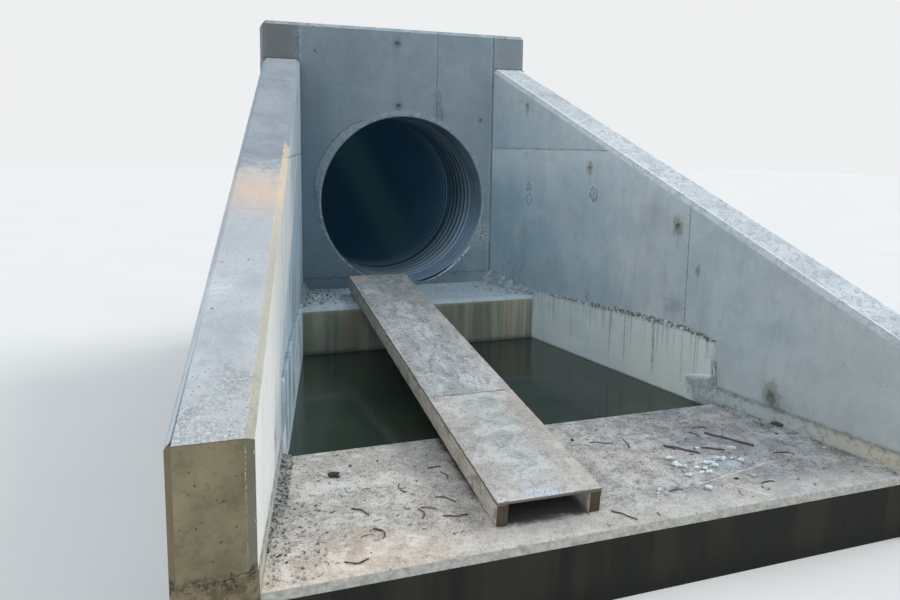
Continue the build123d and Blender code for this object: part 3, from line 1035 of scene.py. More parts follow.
for side_name, side, width_rear, width_front, tall_rear, tall_front in (
    ("left", -1, 0.070, 0.040, 0.10, 0.030), ("right", 1, 0.120, 0.055, 0.135, 0.045),
):
    rows = []
    for step in range(haunch_rows):
        share = step / (haunch_rows - 1)
        distance = haunch_start + (haunch_end - haunch_start) * share
        wavy = 1 + 0.35 * noise.noise(Vector((side * 3.0, distance * 9, 0)))
        rows.append(haunch_section(
            side, distance, (width_rear + (width_front - width_rear) * share) * wavy,
            (tall_rear + (tall_front - tall_rear) * share) * wavy))
    place_piece(side_name + "_haunch_mortar", skin("haunch", rows, smooth=False, capped=True),
                mortar_finish, "mortar", side_name + "_corner_haunch")


# The stilling basin has a concrete floor, an end wall under the apron and thin linings cast
# against the wings. Standing water lies in it, green-brown and nearly still.

basin_finish, place = new_finish("basin_concrete")
colour, height = cast_concrete(place, (84, 86, 76), (120, 118, 104), (0, 0, 0))
silt = cloud(place, 3.0, 5, 0.6)
colour = mix(silt * 0.5, colour, (74, 70, 54))
wear(basin_finish, colour, concrete_roughness(place), height)
for node in ("basin_floor", "basin_end_wall"):
    cast_piece(node, basin_finish, "wet_concrete")

water_level = 0.340
basin_end = -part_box("basin_floor")[0].y
basin_floor_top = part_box("basin_floor")[1].z
lining_front = -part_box("right_basin_lining")[0].y
lining_thickness = 0.025 / math.cos(splay_angle)
lining_columns = 150
lining_levels = 22
lining_top_rear = 0.835


def lining_top(distance, side):
    """Level of a lining's top edge, which was struck off by hand."""
    share = (distance - step_front) / (lining_front - step_front)
    rise = lining_top_rear + (lining_top_front - lining_top_rear) * min(1.0, share * 1.55)
    rise -= 0.045 * max(0.0, share - 0.86) / 0.14
    rough = noise.noise(Vector((distance * 16, side * 2, 0)))
    finer = noise.noise(Vector((distance * 47, side * 2, 5)))
    return rise + (0.014 * rough + 0.012 * finer) * (1.0 if side > 0 else 0.3)


def lining_column(side, distance, end_share):
    """Points up the front of a lining, over its top and down its back."""
    top = lining_top(distance, side)
    back = inner_x(distance)
    front = back - kicker_proud - lining_thickness
    ragged = 0.080 * end_share
    column = []
    for i in range(lining_levels):
        level = basin_floor_top + (top - basin_floor_top) * i / (lining_levels - 1)
        swell = 0.0015 * noise.noise(Vector((side * 3, distance * 8, level * 8)))
        broken = distance + ragged * (noise.noise(Vector((side, level * 12, 3))) * 0.7
                                      + noise.noise(Vector((side, level * 31, 3))) * 0.4 - 0.5)
        column.append((side * (front + swell), -broken, level))
    column.append((side * (front + 0.010), -broken, top + 0.004))
    column.append((side * back, -broken, top - 0.002))
    column.append((side * back, -distance, kicker_top))
    column.append((side * (back - kicker_proud), -distance, kicker_top))
    column.append((side * (back - kicker_proud), -distance, basin_floor_top))
    return column


lining_finish, place = new_finish("lining_concrete")
x, y, z = place.axes()
ny, nz = facing(place)[1:]
ragged = cloud(place, 30.0, 4, 0.6) * 0.03
colour, height = cast_concrete(place, (154, 170, 176), (190, 202, 204), (0, 0, 0))
newer = ease(y + ragged * 3, -1.6, -2.5)
along = place.scaled(0.0, 1.0, 0.015)
fine_runs = cloud(along, 22.0, 4, 0.6)
fallen = ease(z + cloud(along, 15.0, 3) * 0.26, 0.70, 0.96)
colour = coats(
    colour,
    (newer * 0.5, (190, 194, 188)),
    (ease(fine_runs, 0.62, 0.85) * fallen * 0.4, (104, 118, 122)),
)
for distance, wide, strength in (
    (2.24, 0.008, 0.75), (2.586, 0.010, 0.8), (2.051, 0.006, 0.5), (2.897, 0.005, 0.5),
    (1.075, 0.005, 0.5), (1.294, 0.004, 0.45), (1.50, 0.006, 0.5), (3.03, 0.003, 0.3),
):
    run = band(y + ragged * 0.5, -distance, wide) * ease(z, 0.36, 0.6)
    colour = mix(run * strength * (0.4 + fine_runs * 0.6), colour, (58, 72, 76))
line = band(z + y * -0.018 + ragged * 0.05, 0.505, 0.0035)
colour = mix(line * 0.5, colour, (206, 214, 214))
# The top was broken off by hand: dark hollows, pale lumps. The left lining is bluer, as painted
# shadow, with dark trickles and a plainer top. Painted shade darkens its upward faces and painted
# light brightens its end face
crest = cloud(place, 34.0, 5, 0.75)
fallen_end = ease(y, -2.85, -3.2) * 0.045
crown = ease(z + ragged * 0.9 + y * 0.028 + fallen_end, 0.802, 0.842)
on_right = ease(x, 0.0, 0.1)
on_left = 1 - on_right
crown = crown * (0.12 + on_right * 0.88)
trickles = cloud(place.scaled(0.0, 1.0, 0.22), 4.6, 5, 0.65, 0.5)
trickled = ease(trickles, 0.52, 0.66) * ease(z, 0.36, 0.5)
colour = coats(
    colour,
    (on_left * 0.8, mix(fine_runs, (138, 168, 190), (182, 202, 214))),
    (on_left * trickled * 0.55, (62, 82, 98)),
    (on_left * ease(nz, 0.3, 0.6) * 0.45, (118, 138, 152)),
    (on_left * ease(ny, -0.3, -0.6) * 0.55, (226, 234, 238)),
    (crown * ease(crest, 0.35, 0.6) * 0.85, (48, 60, 64)),
    (crown * ease(crest, 0.3, 0.1) * 0.5, (176, 188, 190)),
)
# Mortar made good low down by the apron, under a struck line
level_line = z + y * 0.27 + ragged * 0.2 + 0.262
patched = ease(y + ragged * 2.5 - z * 0.5, -3.14, -3.21) \
    * ease(level_line + ragged * 0.6, 0.004, -0.026) * on_right
struck = band(level_line, 0.0, 0.006) * ease(y, -2.93, -2.97) * on_right
end = ease(ny, -0.3, -0.5) * on_right
end = end | ease(y + ragged * 1.2, -lining_front + 0.075, -lining_front + 0.045) \
    * ease(crest, 0.35, 0.55) * on_right * 0.7
end = end * ease(z + ragged, 0.50, 0.56) * (0.45 + ease(z + ragged, 0.76, 0.70) * 0.55)
wet_and_shadow = ease(z + ragged * 0.3, water_level + 0.022, water_level + 0.008)
colour = coats(
    colour,
    (patched * 0.7, mix(crest, (98, 112, 118), (156, 168, 172))),
    (struck * 0.8, (214, 218, 214)),
    (end * 0.9, mix(crest, (46, 56, 60), (140, 150, 152))),
    (wet_and_shadow * 0.5, (84, 92, 82)),
)
wear(lining_finish, colour, concrete_roughness(place),
     height + (crown | patched | end) * crest * 4.0)

for side_name, side in (("left", -1), ("right", 1)):
    rows = []
    for step in range(lining_columns + 1):
        share = step / lining_columns
        distance = step_front + 0.0005 + (lining_front - step_front - 0.0005) * share
        rows.append(lining_column(side, distance, max(0.0, share - 0.92) / 0.08))
    place_piece(side_name + "_lining_cast", skin("lining", rows, smooth=False, capped=True),
                lining_finish, "basin_concrete", side_name + "_basin_lining")

water_finish, place = new_finish("standing_water")
x, y, _ = place.axes()
murk = cloud(place, 1.6, 4, 0.55)
water_finish.node_tree.nodes["Principled BSDF"].inputs["IOR"].default_value = 1.33
ripples = cloud(place.scaled(1.0, 1.6, 1.0), 7.0, 3, 0.5)
colour = coats(
    mix(murk, (36, 46, 40), (54, 61, 52)),
    (ease(x + murk * 0.3, -0.1, -0.9) * 0.5, (58, 70, 60)),
    (ease(y + murk * 0.2, -1.15, -0.75) * 0.6, (26, 46, 54)),
)
wear(water_finish, colour, 0.09 + murk * 0.05, ripples * 0.25)
water_columns, water_rows = 40, 44
rows = []
for step in range(water_rows + 1):
    distance = step_front - 0.002 + (basin_end - step_front + 0.004) * step / water_rows
    half = inner_x(distance) - kicker_proud - 0.012
    rows.append([
        (half * (2 * i / water_columns - 1), -distance,
         water_level + 0.0002 * noise.noise(Vector((i * 0.7, distance * 4, 0))))
        for i in range(water_columns + 1)
    ])
place_piece("standing_water", skin("standing_water", rows, round_rows=False), water_finish,
            "wet_concrete")


# The apron is a slab on a bed of mass concrete, held at its front by a toe wall that stays wet
# and is darkened further with painted shade. Silt, grit and builders' waste lie on it.

def board(node):
    """The corner of a packed board and its edges across, along and up."""
    corners = {tuple(round(c, 5) for c in v.co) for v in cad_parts[node].data.vertices}
    corners = [Vector(c) for c in corners]
    first = min(corners, key=lambda c: (round(c.z, 4), c.x))
    near = sorted(corners, key=lambda c: (c - first).length)
    edges = [near[1] - first, near[2] - first, near[4] - first]
    along = edges.pop(2)
    edges.sort(key=lambda e: abs(e.z))
    return first, edges[0], along, edges[1]


apron_low, apron_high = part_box("apron_slab")
apron_top = apron_high.z
apron_start = -apron_high.y
apron_end = -apron_low.y
apron_finish, place = new_finish("apron_concrete")
x, y, z = place.axes()
colour, height = cast_concrete(place, (148, 149, 150), (190, 191, 190), (0, 0, 0))
drift = cloud(place, 1.7, 6, 0.65)
dirt = cloud(place, 7.0, 6, 0.75)
silt = cloud(place, 28.0, 6, 0.8)
grit = cloud(place, 90.0, 4, 0.8)
# Brown silt, thickest in front on the left, over grey dirt and fine grit
silty = ease(drift * 0.9 - x * 0.22 - y * 0.35, 1.55, 2.5)
bluish = ease(x + drift * 0.6, 0.5, 1.2) * ease(cloud(place, 3.1, 5, 0.65), 0.3, 0.7)
leftward = ease(x + drift * 0.3, -0.3, -1.3)
chalky = spot(place, (-1.34, -3.74, apron_top), 0.13, 0.7, dirt * 0.08)
stained = spot(place, (-1.39, -4.43, apron_top), 0.2, 0.8, dirt * 0.12)
colour = coats(
    colour,
    (silty * 0.45, (168, 147, 130)),
    (bluish * 0.4, (134, 147, 166)),
    (ease(dirt, 0.4, 0.8) * (0.5 - leftward * 0.25), (120, 119, 118)),
    (leftward * (0.3 + drift * 0.3), (212, 210, 205)),
    (chalky * 0.5, (200, 210, 214)),
    (stained * 0.45, (142, 122, 108)),
    (ease(dirt, 0.4, 0.1) * 0.35, (212, 212, 210)),
    (ease(silt, 0.55, 0.85) * (0.15 + dirt * 0.35), (92, 90, 88)),
    (ease(grit, 0.5, 0.75) * 0.45, (96, 93, 90)),
    (ease(grit, 0.4, 0.15) * 0.3, (216, 216, 214)),
    (pits(place, 42.0, 0.006) * ease(drift, 0.25, 0.6) * 0.8, (64, 60, 56)),
)
# Swept paler along the front, and scratched where something was dragged over it
swept = ease(y * -1 + dirt * 0.08, apron_end - 0.2, apron_end - 0.06)
pinkish = leftward * ease(y + drift * 0.3, -4.05, -4.5)
blotted = cloud(place, 6.0, 5, 0.6)
crumbly = silt * 0.5 + grit * 0.5
colour = coats(
    colour,
    (swept * 0.35, (198, 199, 194)),
    (pinkish * 0.45, (208, 182, 160)),
    (leftward * ease(blotted, 0.5, 0.85) * 0.4, (160, 153, 146)),
    (leftward * ease(blotted, 0.45, 0.15) * 0.35, (232, 230, 226)),
    (leftward * ease(crumbly, 0.62, 0.78) * dirt * 0.6, (98, 94, 90)),
    (leftward * ease(crumbly, 0.40, 0.25) * 0.3, (232, 232, 228)),
)
# A strip of black grit is packed along the foot of the left wing
from_left = x + channel_half_width - y * splay
packed = ease(from_left + dirt * 0.012, 0.078, 0.068) * ease(y + dirt * 0.1, -4.08, -3.95)
colour = mix(packed * 0.75, colour, mix(ease(silt, 0.35, 0.65), (58, 59, 56), (150, 152, 148)))
for across, distance, degrees, length in ((0.92, 4.32, 10.7, 0.75), (0.84, 4.53, -59.8, 0.24)):
    heading = math.radians(degrees)
    off = place.minus((across, -distance, apron_top))
    ahead = off.dot((math.cos(heading), math.sin(heading), 0))
    aside = off.dot((-math.sin(heading), math.cos(heading), 0))
    scratch = band(aside + dirt * 0.012, 0.0, 0.005) * ease(abs(ahead), length / 2, length * 0.4)
    colour = mix(scratch * 0.6, colour, (214, 214, 212))
heel = ease(x + y * splay + drift * 0.05, channel_half_width - 0.16,
            channel_half_width - 0.03)
powder = spot(place, (1.60, -3.95, apron_top), 0.13, 0.7, dirt * 0.12) \
    | spot(place, (0.95, -4.18, apron_top), 0.15, 0.7, dirt * 0.12)
colour = coats(
    colour,
    (heel * 0.6 * dirt, (84, 80, 74)),
    (powder * 0.5, (186, 198, 206)),
)
# Painted shadow: the slab is dark under the end of the gangway
front_origin, deck_across, front_along, deck_up = board("gangway_front_deck")
lengthwise, crosswise = front_along.normalized(), deck_across.normalized()
from_front = place.minus(front_origin)
sideways = from_front.dot(crosswise)
forward = from_front.dot(lengthwise)
deck_half = deck_across.length / 2
under = ease(abs(sideways - deck_half + dirt * 0.03), deck_half - 0.01, deck_half - 0.08) \
    * ease(forward + dirt * 0.05, 0.0, 0.07)
rim = ease(z, apron_top - 0.004, apron_top - 0.010)
edge_tone = mix(cloud(place, 24.0, 5, 0.65) * 0.6 + grit * 0.4, (128, 127, 120),
                (184, 184, 178))
colour = coats(
    colour,
    (under * 0.9, (40, 44, 40)),
    (rim, edge_tone),
)
height = height + ease(dirt, 0.4, 0.9) * 2.0 + silt * 1.2 + grit * 0.8
wear(apron_finish, colour, concrete_roughness(place), height)
draw = random.Random("apron")
chips = bmesh.new()
for distance, count, size in ((apron_end, 46, 0.013), (apron_start, 34, 0.012)):
    half = inner_x(distance) - 0.05
    nip(chips, Vector((-half, -distance, apron_top)), Vector((half, -distance, apron_top)),
        count, size, draw)
cast_piece("apron_slab", apron_finish, "apron_concrete", chips, 0.005)
cast_piece("apron_bed", apron_finish, "apron_concrete")

toe_finish, place = new_finish("toe_wall_concrete")
streaks = cloud(place.scaled(1.0, 1.0, 0.06), 9.0, 5, 0.62)
broad_streaks = cloud(place.scaled(1.0, 1.0, 0.1), 2.2, 4, 0.6)
toe_finish.node_tree.nodes["Principled BSDF"].inputs["Specular IOR Level"].default_value = 0.2
# Wet concrete, darker still with painted shade, and darker towards the bottom
colour = coats(
    mix(streaks, (16, 19, 17), (34, 35, 31)),
    (ease(broad_streaks, 0.5, 0.85) * 0.4, (52, 46, 37)),
    (ease(place.axes()[2], 0.16, 0.02) * 0.6, (18, 21, 18)),
)
wear(toe_finish, colour, 0.55 + streaks * 0.3, streaks * 0.8 + cloud(place, 60.0, 4) * 0.8)
cast_piece("toe_wall", toe_finish, "wet_concrete")

fillet_rear_width, fillet_front_width = 0.062, 0.014
fillet_rows, fillet_points = 60, 8
fillet_low, fillet_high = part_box("left_apron_fillet")
rows = []
for step in range(fillet_rows + 1):
    distance = -fillet_high.y + (fillet_high.y - fillet_low.y) * step / fillet_rows
    face = inner_x(distance) - kicker_proud
    wide = fillet_rear_width + (fillet_front_width - fillet_rear_width) * step / fillet_rows
    row = [(-face, -distance, apron_top)]
    for i in range(fillet_points):
        share = i / (fillet_points - 1)
        here = Vector((-(face - wide * (1 - share)), -distance,
                       apron_top + (fillet_high.z - apron_top) * share ** 0.7))
        here.z += 0.004 * noise.noise(here * 40) * math.sin(math.pi * share)
        here.x += 0.008 * noise.noise(here * 25) * (1 - share)
        row.append(tuple(here))
    rows.append(row)
fillet_finish, place = new_finish("dirty_mortar")
lumps = cloud(place, 22.0, 6, 0.75)
fine = cloud(place, 80.0, 4, 0.75)
colour = mix(ease(lumps * 0.5 + fine * 0.5, 0.35, 0.65), (50, 52, 50),
             (160, 162, 158))
wear(fillet_finish, colour, 0.92, lumps * 4.0 + fine * 2.0)
place_piece("left_fillet_mortar", skin("fillet", rows, smooth=False, capped=True),
            fillet_finish, "mortar", "left_apron_fillet")


# The gangway is two sawn joists with plywood nailed over them, knocked together on site and
# leaned from the apron to the step. It is grey from weather, boots and cement.


def worn_board(node, cells, rubbed_off):
    """A packed board as a fine mesh with its edges rubbed down."""
    origin, across, along, up = board(node)
    columns, rows, layers = cells
    numbers, points, faces = {}, [], []
    lengths = (across.length, along.length, up.length)

    def corner(i, j, k):
        if (i, j, k) not in numbers:
            shares = (i / columns, j / rows, k / layers)
            point = origin + across * shares[0] + along * shares[1] + up * shares[2]
            sides = sum(s in (0.0, 1.0) for s in shares)
            rub = noise.noise(point * 23) * 0.5 + noise.noise(point * 71) * 0.5
            if sides > 1:
                inward = Vector((0, 0, 0))
                for share, edge, length in zip(shares, (across, along, up), lengths):
                    if share in (0.0, 1.0):
                        inward += edge / length * (1 if share == 0 else -1)
                point += inward * rubbed_off * (0.35 + 0.65 * max(0.0, rub + 0.4))
            numbers[i, j, k] = len(points)
            points.append(tuple(point))
        return numbers[i, j, k]

    for first, second, third in ((0, 1, 2), (0, 2, 1), (1, 2, 0)):
        for a, b, c in product(range(cells[first]), range(cells[second]), (0, cells[third])):
            cell = [0, 0, 0]
            cell[first], cell[second], cell[third] = a, b, c
            ring = []
            for step_first, step_second in ((0, 0), (1, 0), (1, 1), (0, 1)):
                at = list(cell)
                at[first] += step_first
                at[second] += step_second
                ring.append(corner(*at))
            faces.append(tuple(ring))
    return closed_mesh(node, points, faces)


joist_finish, place = new_finish("joist_timber")
x, _, z = place.axes()
grain = cloud(place.scaled(1.0, 0.045, 1.0), 95.0, 5, 0.6, 0.4)
blotch = cloud(place, 7.0, 5, 0.65)
colour = mix(grain * 0.6 + blotch * 0.4, (120, 113, 103), (201, 193, 179))
smear = cloud(place.scaled(1.0, 1.0, 0.3), 12.0, 5, 0.65)
growth = place.math("SINE", (x * x + z * z) * 900.0)
sawn_end = mix(growth * 0.3 + blotch * 0.5, (54, 46, 32), (86, 75, 56))
colour = coats(
    colour,
    (ease(blotch, 0.55, 0.9) * 0.65, (78, 75, 70)),
    (ease(smear, 0.55, 0.85) * 0.45, (172, 166, 154)),
    (ease(facing(place)[1], -0.8, -0.95), sawn_end),
)
wear(joist_finish, colour, 0.85, grain * 0.8 + blotch * 0.5)
for node in ("gangway_left_joist", "gangway_right_joist"):
    place_piece(node + "_sawn", worn_board(node, (4, 200, 7), 0.004), joist_finish,
                "joist_timber", node)

ply_thickness = 0.0036
deck_finish, place = new_finish("deck_plywood")
from_front = place.minus(front_origin)
forward = from_front.dot(lengthwise)
sideways = from_front.dot(crosswise)
lift = from_front.dot(deck_up.normalized())
grained = place.add("CombineXYZ", None, {0: sideways * 60.0, 1: forward * 3.0, 2: lift})
grain = cloud(grained, 1.0, 4, 0.6, 0.6)
on_front = ease(forward, 1.265, 1.255)
drawn_out = place.add("CombineXYZ", None,
                      {0: sideways, 1: forward * (0.45 + on_front * 0.45), 2: on_front})
tread = cloud(drawn_out, 15.0, 6, 0.72)
broad = cloud(place, 2.4, 4, 0.6)
speckle = cloud(drawn_out, 62.0, 4, 0.7)
colour = mix(broad * 0.7 + grain * 0.3, (135, 137, 137), (170, 174, 175))
smeared = cloud(drawn_out, 5.5, 5, 0.65, 0.9)
grimy = ease(forward, 2.6, 3.9) * (0.25 + tread * 0.35)
bared = ease(forward + tread * 0.2, 3.95, 4.15) * ease(sideways, 0.3, 0.1)
splash = ease(forward + tread * 0.14, 0.20, 0.10) * band(sideways + tread * 0.1, 0.31, 0.10)
layers = ease(place.math("PINGPONG", lift * (1 / ply_thickness), 1.0), 0.3, 0.7)
edge = ease(lift, deck_up.length - 0.0008, deck_up.length - 0.0025)
edge_tone = mix(layers, (70, 65, 58), (122, 114, 102))
colour = coats(
    colour,
    (on_front * ease(abs(sideways - 0.28), 0.3, 0.1) * broad * 0.5, (160, 169, 167)),
    (on_front * 0.15, (146, 146, 144)),
    (on_front * ease(sideways, 0.3, 0.02) * 0.4, (160, 147, 138)),
    (on_front * ease(sideways + tread * 0.1, 0.36, 0.6) * 0.4, (170, 156, 146)),
    ((1 - on_front) * 0.12, (134, 150, 166)),
    (ease(smeared, 0.5, 0.9) * 0.4, (128, 130, 130)),
    (ease(smeared, 0.45, 0.1) * 0.35, (204, 208, 208)),
    (on_front * ease(forward + tread * 0.1, 0.45, 0.1) * 0.3, (204, 202, 198)),
    (ease(speckle * tread, 0.3, 0.5) * (0.5 - on_front * 0.2), (84, 85, 90)),
    (ease(tread, 0.55, 0.9) * (1 - on_front * 0.7) * 0.3, (98, 99, 106)),
    (ease(speckle, 0.35, 0.1) * 0.3, (206, 210, 212)),
    (grimy, (110, 120, 126)),
    (ease(sideways, 0.42, 0.62) * 0.25, (172, 156, 144)),
    (bared * 0.5, (164, 158, 140)),
    (splash * 0.6, (176, 190, 206)),
    (splash * pits(place, 60.0, 0.006) * 0.7, (96, 106, 116)),
    (edge, edge_tone),
)
wear(deck_finish, colour, 0.72 + tread * 0.2,
     grain * 0.35 + speckle * 0.5 + ease(tread, 0.6, 0.9) * 0.8)
for node in ("gangway_front_deck", "gangway_rear_deck"):
    cells = (24, round(board(node)[2].length * 40), 3)
    place_piece(node + "_ply", worn_board(node, cells, 0.0025), deck_finish, "deck_plywood", node)


def mottled(name, dark, light, waves, roughness, relief_waves, relief, metallic=0.0):
    """A plain finish. Noise mixes its tones, and finer noise gives relief in millimetres."""
    material, place = new_finish(name)
    colour = mix(cloud(place, *waves), dark, light)
    return wear(material, colour, roughness, cloud(place, *relief_waves) * relief, metallic)


nail_finish = mottled("nail_steel", (70, 60, 52), (112, 108, 104), (300.0,), 0.55, (400.0,),
                      0.2, 0.5)
nail_radius, nail_spacing, nail_inset, nail_end, nail_stray = 0.0045, 0.30, 0.034, 0.03, 0.01
head_thickness, head_centre = 0.0016, 0.0006
nails = bmesh.new()
draw = random.Random("nails")
turn = deck_up.to_track_quat("Z", "Y").to_matrix().to_4x4()
for node in ("gangway_front_deck", "gangway_rear_deck"):
    origin, across, along, up = board(node)
    count = round(along.length / nail_spacing)
    for side_share in (nail_inset / across.length, 1 - nail_inset / across.length):
        for i in range(count + 1):
            share = (nail_end + (along.length - 2 * nail_end) * i / count) / along.length
            stray = draw.uniform(-nail_stray, nail_stray)
            point = origin + across * (side_share + stray) + along * share
            point += up + up.normalized() * head_centre
            bmesh.ops.create_cone(
                nails, cap_ends=True, segments=12, radius1=nail_radius,
                radius2=nail_radius * 0.75, depth=head_thickness,
                matrix=Matrix.Translation(point) @ turn,
            )
place_piece("deck_nails", to_mesh("deck_nails", nails), nail_finish, "joist_timber")


# Grit, broken stone and offcuts of tying wire lie where they fell, on the apron, the step and
# along the foot of the walls.

stone_finish, place = new_finish("loose_stone")
tint = place.add("TexWhiteNoise", None, {
    "Vector": place.scaled(45.0, 45.0, 0.0).vector("FLOOR")})
colour = mix(tint, (58, 58, 56), (196, 196, 192))
colour = mix(cloud(place, 120.0, 4) * 0.3, colour, (112, 110, 106))
wear(stone_finish, colour, 0.9, cloud(place, 150.0, 4) * 0.8)


def stone(heap, point, size, draw, slender=1.0, swing=3.15):
    """Add a broken stone that rests on a surface, longer than wide and swung about."""
    shape = bmesh.ops.create_icosphere(heap, subdivisions=1, radius=1.0)
    squash = Vector((draw.uniform(0.7, 1.3) * slender, draw.uniform(0.6, 1.1) / slender,
                     draw.uniform(0.4, 0.75)))
    turn = Matrix.Rotation(draw.uniform(-swing, swing) - 0.3, 3, "Z")
    lowest = 1.0
    for vert in shape["verts"]:
        rough = 1 + 0.34 * noise.noise(vert.co * 1.3 + point * 31)
        vert.co = turn @ Vector(c * s * size * rough for c, s in zip(vert.co, squash))
        lowest = min(lowest, vert.co.z)
    for vert in shape["verts"]:
        vert.co += point - Vector((0, 0, lowest + size * 0.12))


def scatter(name, count, spot_of, smallest, largest, finish, seed):
    """A mesh of stones, with a place for each drawn by spot_of, none under the gangway's end."""
    heap = bmesh.new()
    draw = random.Random(seed)
    for _ in range(count):
        size = smallest + (largest - smallest) * draw.random() ** 3
        point = spot_of(draw)
        from_end = point - front_origin
        sheltered = 0 < from_end.dot(crosswise) < deck_across.length \
            and from_end.dot(lengthwise) > 0
        if point.z > apron_top or not sheltered:
            stone(heap, point, size, draw)
    place_piece(name, to_mesh(name, heap), finish, "apron_concrete")


def on_apron(draw):
    distance = draw.uniform(apron_start + 0.03, apron_end - 0.03)
    half = inner_x(distance) - 0.08
    return Vector((draw.uniform(-half, half), -distance, apron_top))


def along_left_wing(draw):
    distance = draw.uniform(apron_start + 0.05, apron_end - 0.03)
    spread = 0.05 if distance < 3.9 else 0.26
    out = 0.03 + spread * draw.random() ** 1.4
    return Vector((-(inner_x(distance) - out), -distance, apron_top))


def along_right_wing(draw):
    distance = draw.uniform(apron_start + 0.05, apron_end - 0.03)
    out = 0.02 + 0.12 * draw.random() ** 2
    return Vector((inner_x(distance) - out, -distance, apron_top))


def on_step(side, nearest, spread, draw):
    out = nearest + spread * draw.random() ** 2
    distance = draw.uniform(0.03, step_front - 0.1)
    return Vector((side * (inner_x(distance) - out), -distance, step_top))


def on_chip_heap(draw):
    return Vector((draw.gauss(0.80, 0.14), draw.gauss(-4.18, 0.08), apron_top))


scatter("apron_grit", 420, on_apron, 0.002, 0.011, stone_finish, "grit")
scatter("left_foot_grit", 760, along_left_wing, 0.002, 0.010, stone_finish, "left grit")
scatter("right_foot_grit", 120, along_right_wing, 0.003, 0.012, stone_finish, "right grit")
# The crumbs on the step are bluer than the loose stone elsewhere, with painted sky-lit shade
rubble_finish = mottled("mortar_crumbs", (58, 74, 82), (172, 188, 197), (34.0, 4, 0.7), 0.9,
                        (150.0, 4), 0.8)
scatter("step_rubble_left", 230, partial(on_step, -1, 0.06, 0.5), 0.003, 0.022, rubble_finish,
        "left rubble")
scatter("step_rubble_right", 120, partial(on_step, 1, 0.12, 0.25), 0.003, 0.018, rubble_finish,
        "right rubble")

pale_chips = (  # across, distance, half length
    (0.84, 4.17, 0.029), (0.85, 4.22, 0.027), (0.77, 4.23, 0.023), (0.76, 4.28, 0.027),
    (0.71, 4.27, 0.017), (0.73, 4.21, 0.017), (0.91, 4.15, 0.028), (0.96, 4.16, 0.028),
    (1.06, 4.20, 0.017), (1.02, 4.16, 0.014), (0.63, 4.12, 0.023), (0.63, 4.15, 0.030),
    (0.67, 4.17, 0.017), (0.64, 4.05, 0.020), (0.61, 4.28, 0.020), (0.61, 4.46, 0.027),
    (0.34, 4.39, 0.026), (0.35, 4.45, 0.009), (0.30, 4.42, 0.009), (0.92, 3.96, 0.014),
    (1.13, 4.03, 0.018), (0.98, 4.40, 0.017), (0.72, 3.69, 0.014),
)
dark_stones = ((-1.395, 3.65, 0.026), (-1.375, 3.67, 0.016), (1.715, 3.80, 0.030),
               (1.60, 3.92, 0.012), (0.20, 3.60, 0.012), (0.86, 4.40, 0.014))
chip_finish = mottled("pale_stone_chips", (150, 164, 172), (220, 228, 232), (30.0, 4), 0.85,
                      (120.0, 4), 0.8)
black_finish = mottled("black_stone", (30, 31, 32), (70, 72, 74), (60.0, 4), 0.8, (90.0, 4), 0.8)


def set_down(name, stones, finish):
    """A mesh of stones at their places on the apron."""
    heap = bmesh.new()
    draw = random.Random(name)
    for across, distance, size in stones:
        stone(heap, Vector((across, -distance, apron_top)), size, draw, 1.35, 0.8)
    place_piece(name, to_mesh(name, heap), finish, "apron_concrete")


set_down("stone_chips", pale_chips, chip_finish)
scatter("stone_crumbs", 60, on_chip_heap, 0.003, 0.011, chip_finish, "chips")
set_down("black_stones", dark_stones, black_finish)


def offcut(tangle, middle, heading, length, thick, bend, draw):
    """Add a bent offcut that lies on the apron."""
    count = 9
    path = []
    for i in range(count):
        share = i / (count - 1) - 0.5
        side = bend * (0.25 - share * share) * 4 * length
        curve = Vector((math.cos(heading), math.sin(heading), 0)) * share * length
        curve += Vector((-math.sin(heading), math.cos(heading), 0)) * side
        curve.z = thick + 0.004 * abs(math.sin(6 * share + heading))
        path.append(middle + curve)
    ring_before = None
    for i, point in enumerate(path):
        ahead = (path[min(i + 1, count - 1)] - path[max(i - 1, 0)]).normalized()
        frame_turn = ahead.to_track_quat("Z", "Y").to_matrix()
        fat = thick * draw.uniform(0.75, 1.15)
        ring = [tangle.verts.new(point + frame_turn @ Vector(
            (math.cos(a) * fat, math.sin(a) * fat, 0)))
            for a in (k * math.pi / 3 for k in range(6))]
        if ring_before:
            for k in range(6):
                tangle.faces.new((ring_before[k], ring_before[(k + 1) % 6], ring[(k + 1) % 6],
                                  ring[k]))
        else:
            tangle.faces.new(list(reversed(ring)))
        ring_before = ring
    tangle.faces.new(ring_before)


wire_finish = mottled("tying_wire", (44, 40, 38), (92, 80, 70), (60.0, 4), 0.8, (200.0, 3), 0.3,
                      0.2)
splinter_finish = mottled("splintered_wood", (50, 47, 44), (96, 90, 84), (60.0, 4), 0.85,
                          (150.0, 3), 0.5)
wires = (  # across, distance, heading in degrees, length, bend
    (-0.80, 3.72, 0, 0.08, 0.1), (-0.78, 3.84, -86, 0.10, 0.2), (-0.86, 4.12, -49, 0.12, 0.1),
    (-1.05, 3.92, -85, 0.11, -0.2), (-1.34, 4.12, -57, 0.13, 0.15), (-1.30, 4.36, -77, 0.11, 0.3),
    (-1.45, 4.56, -3, 0.11, -0.25), (-0.98, 4.19, -31, 0.09, 0.1), (-0.87, 4.30, -13, 0.13, -0.1),
    (-1.04, 4.23, -92, 0.10, 0.2), (0.36, 3.70, -29, 0.15, 0.05), (0.51, 3.76, -104, 0.13, 0.1),
    (1.05, 3.76, -75, 0.09, 0.02), (1.15, 3.68, -13, 0.11, 0.2), (-0.02, 4.58, -58, 0.15, 0.05),
    (1.00, 4.00, -32, 0.16, 0.03), (1.00, 4.50, 0, 0.09, 0.1), (0.42, 4.42, -2, 0.09, 0.05),
    (1.39, 4.19, -17, 0.11, 0.1),
)
splinters = ((1.21, 3.905, -59, 0.33, 0.01), (0.80, 3.95, -50, 0.23, 0.02))
draw = random.Random("wire")
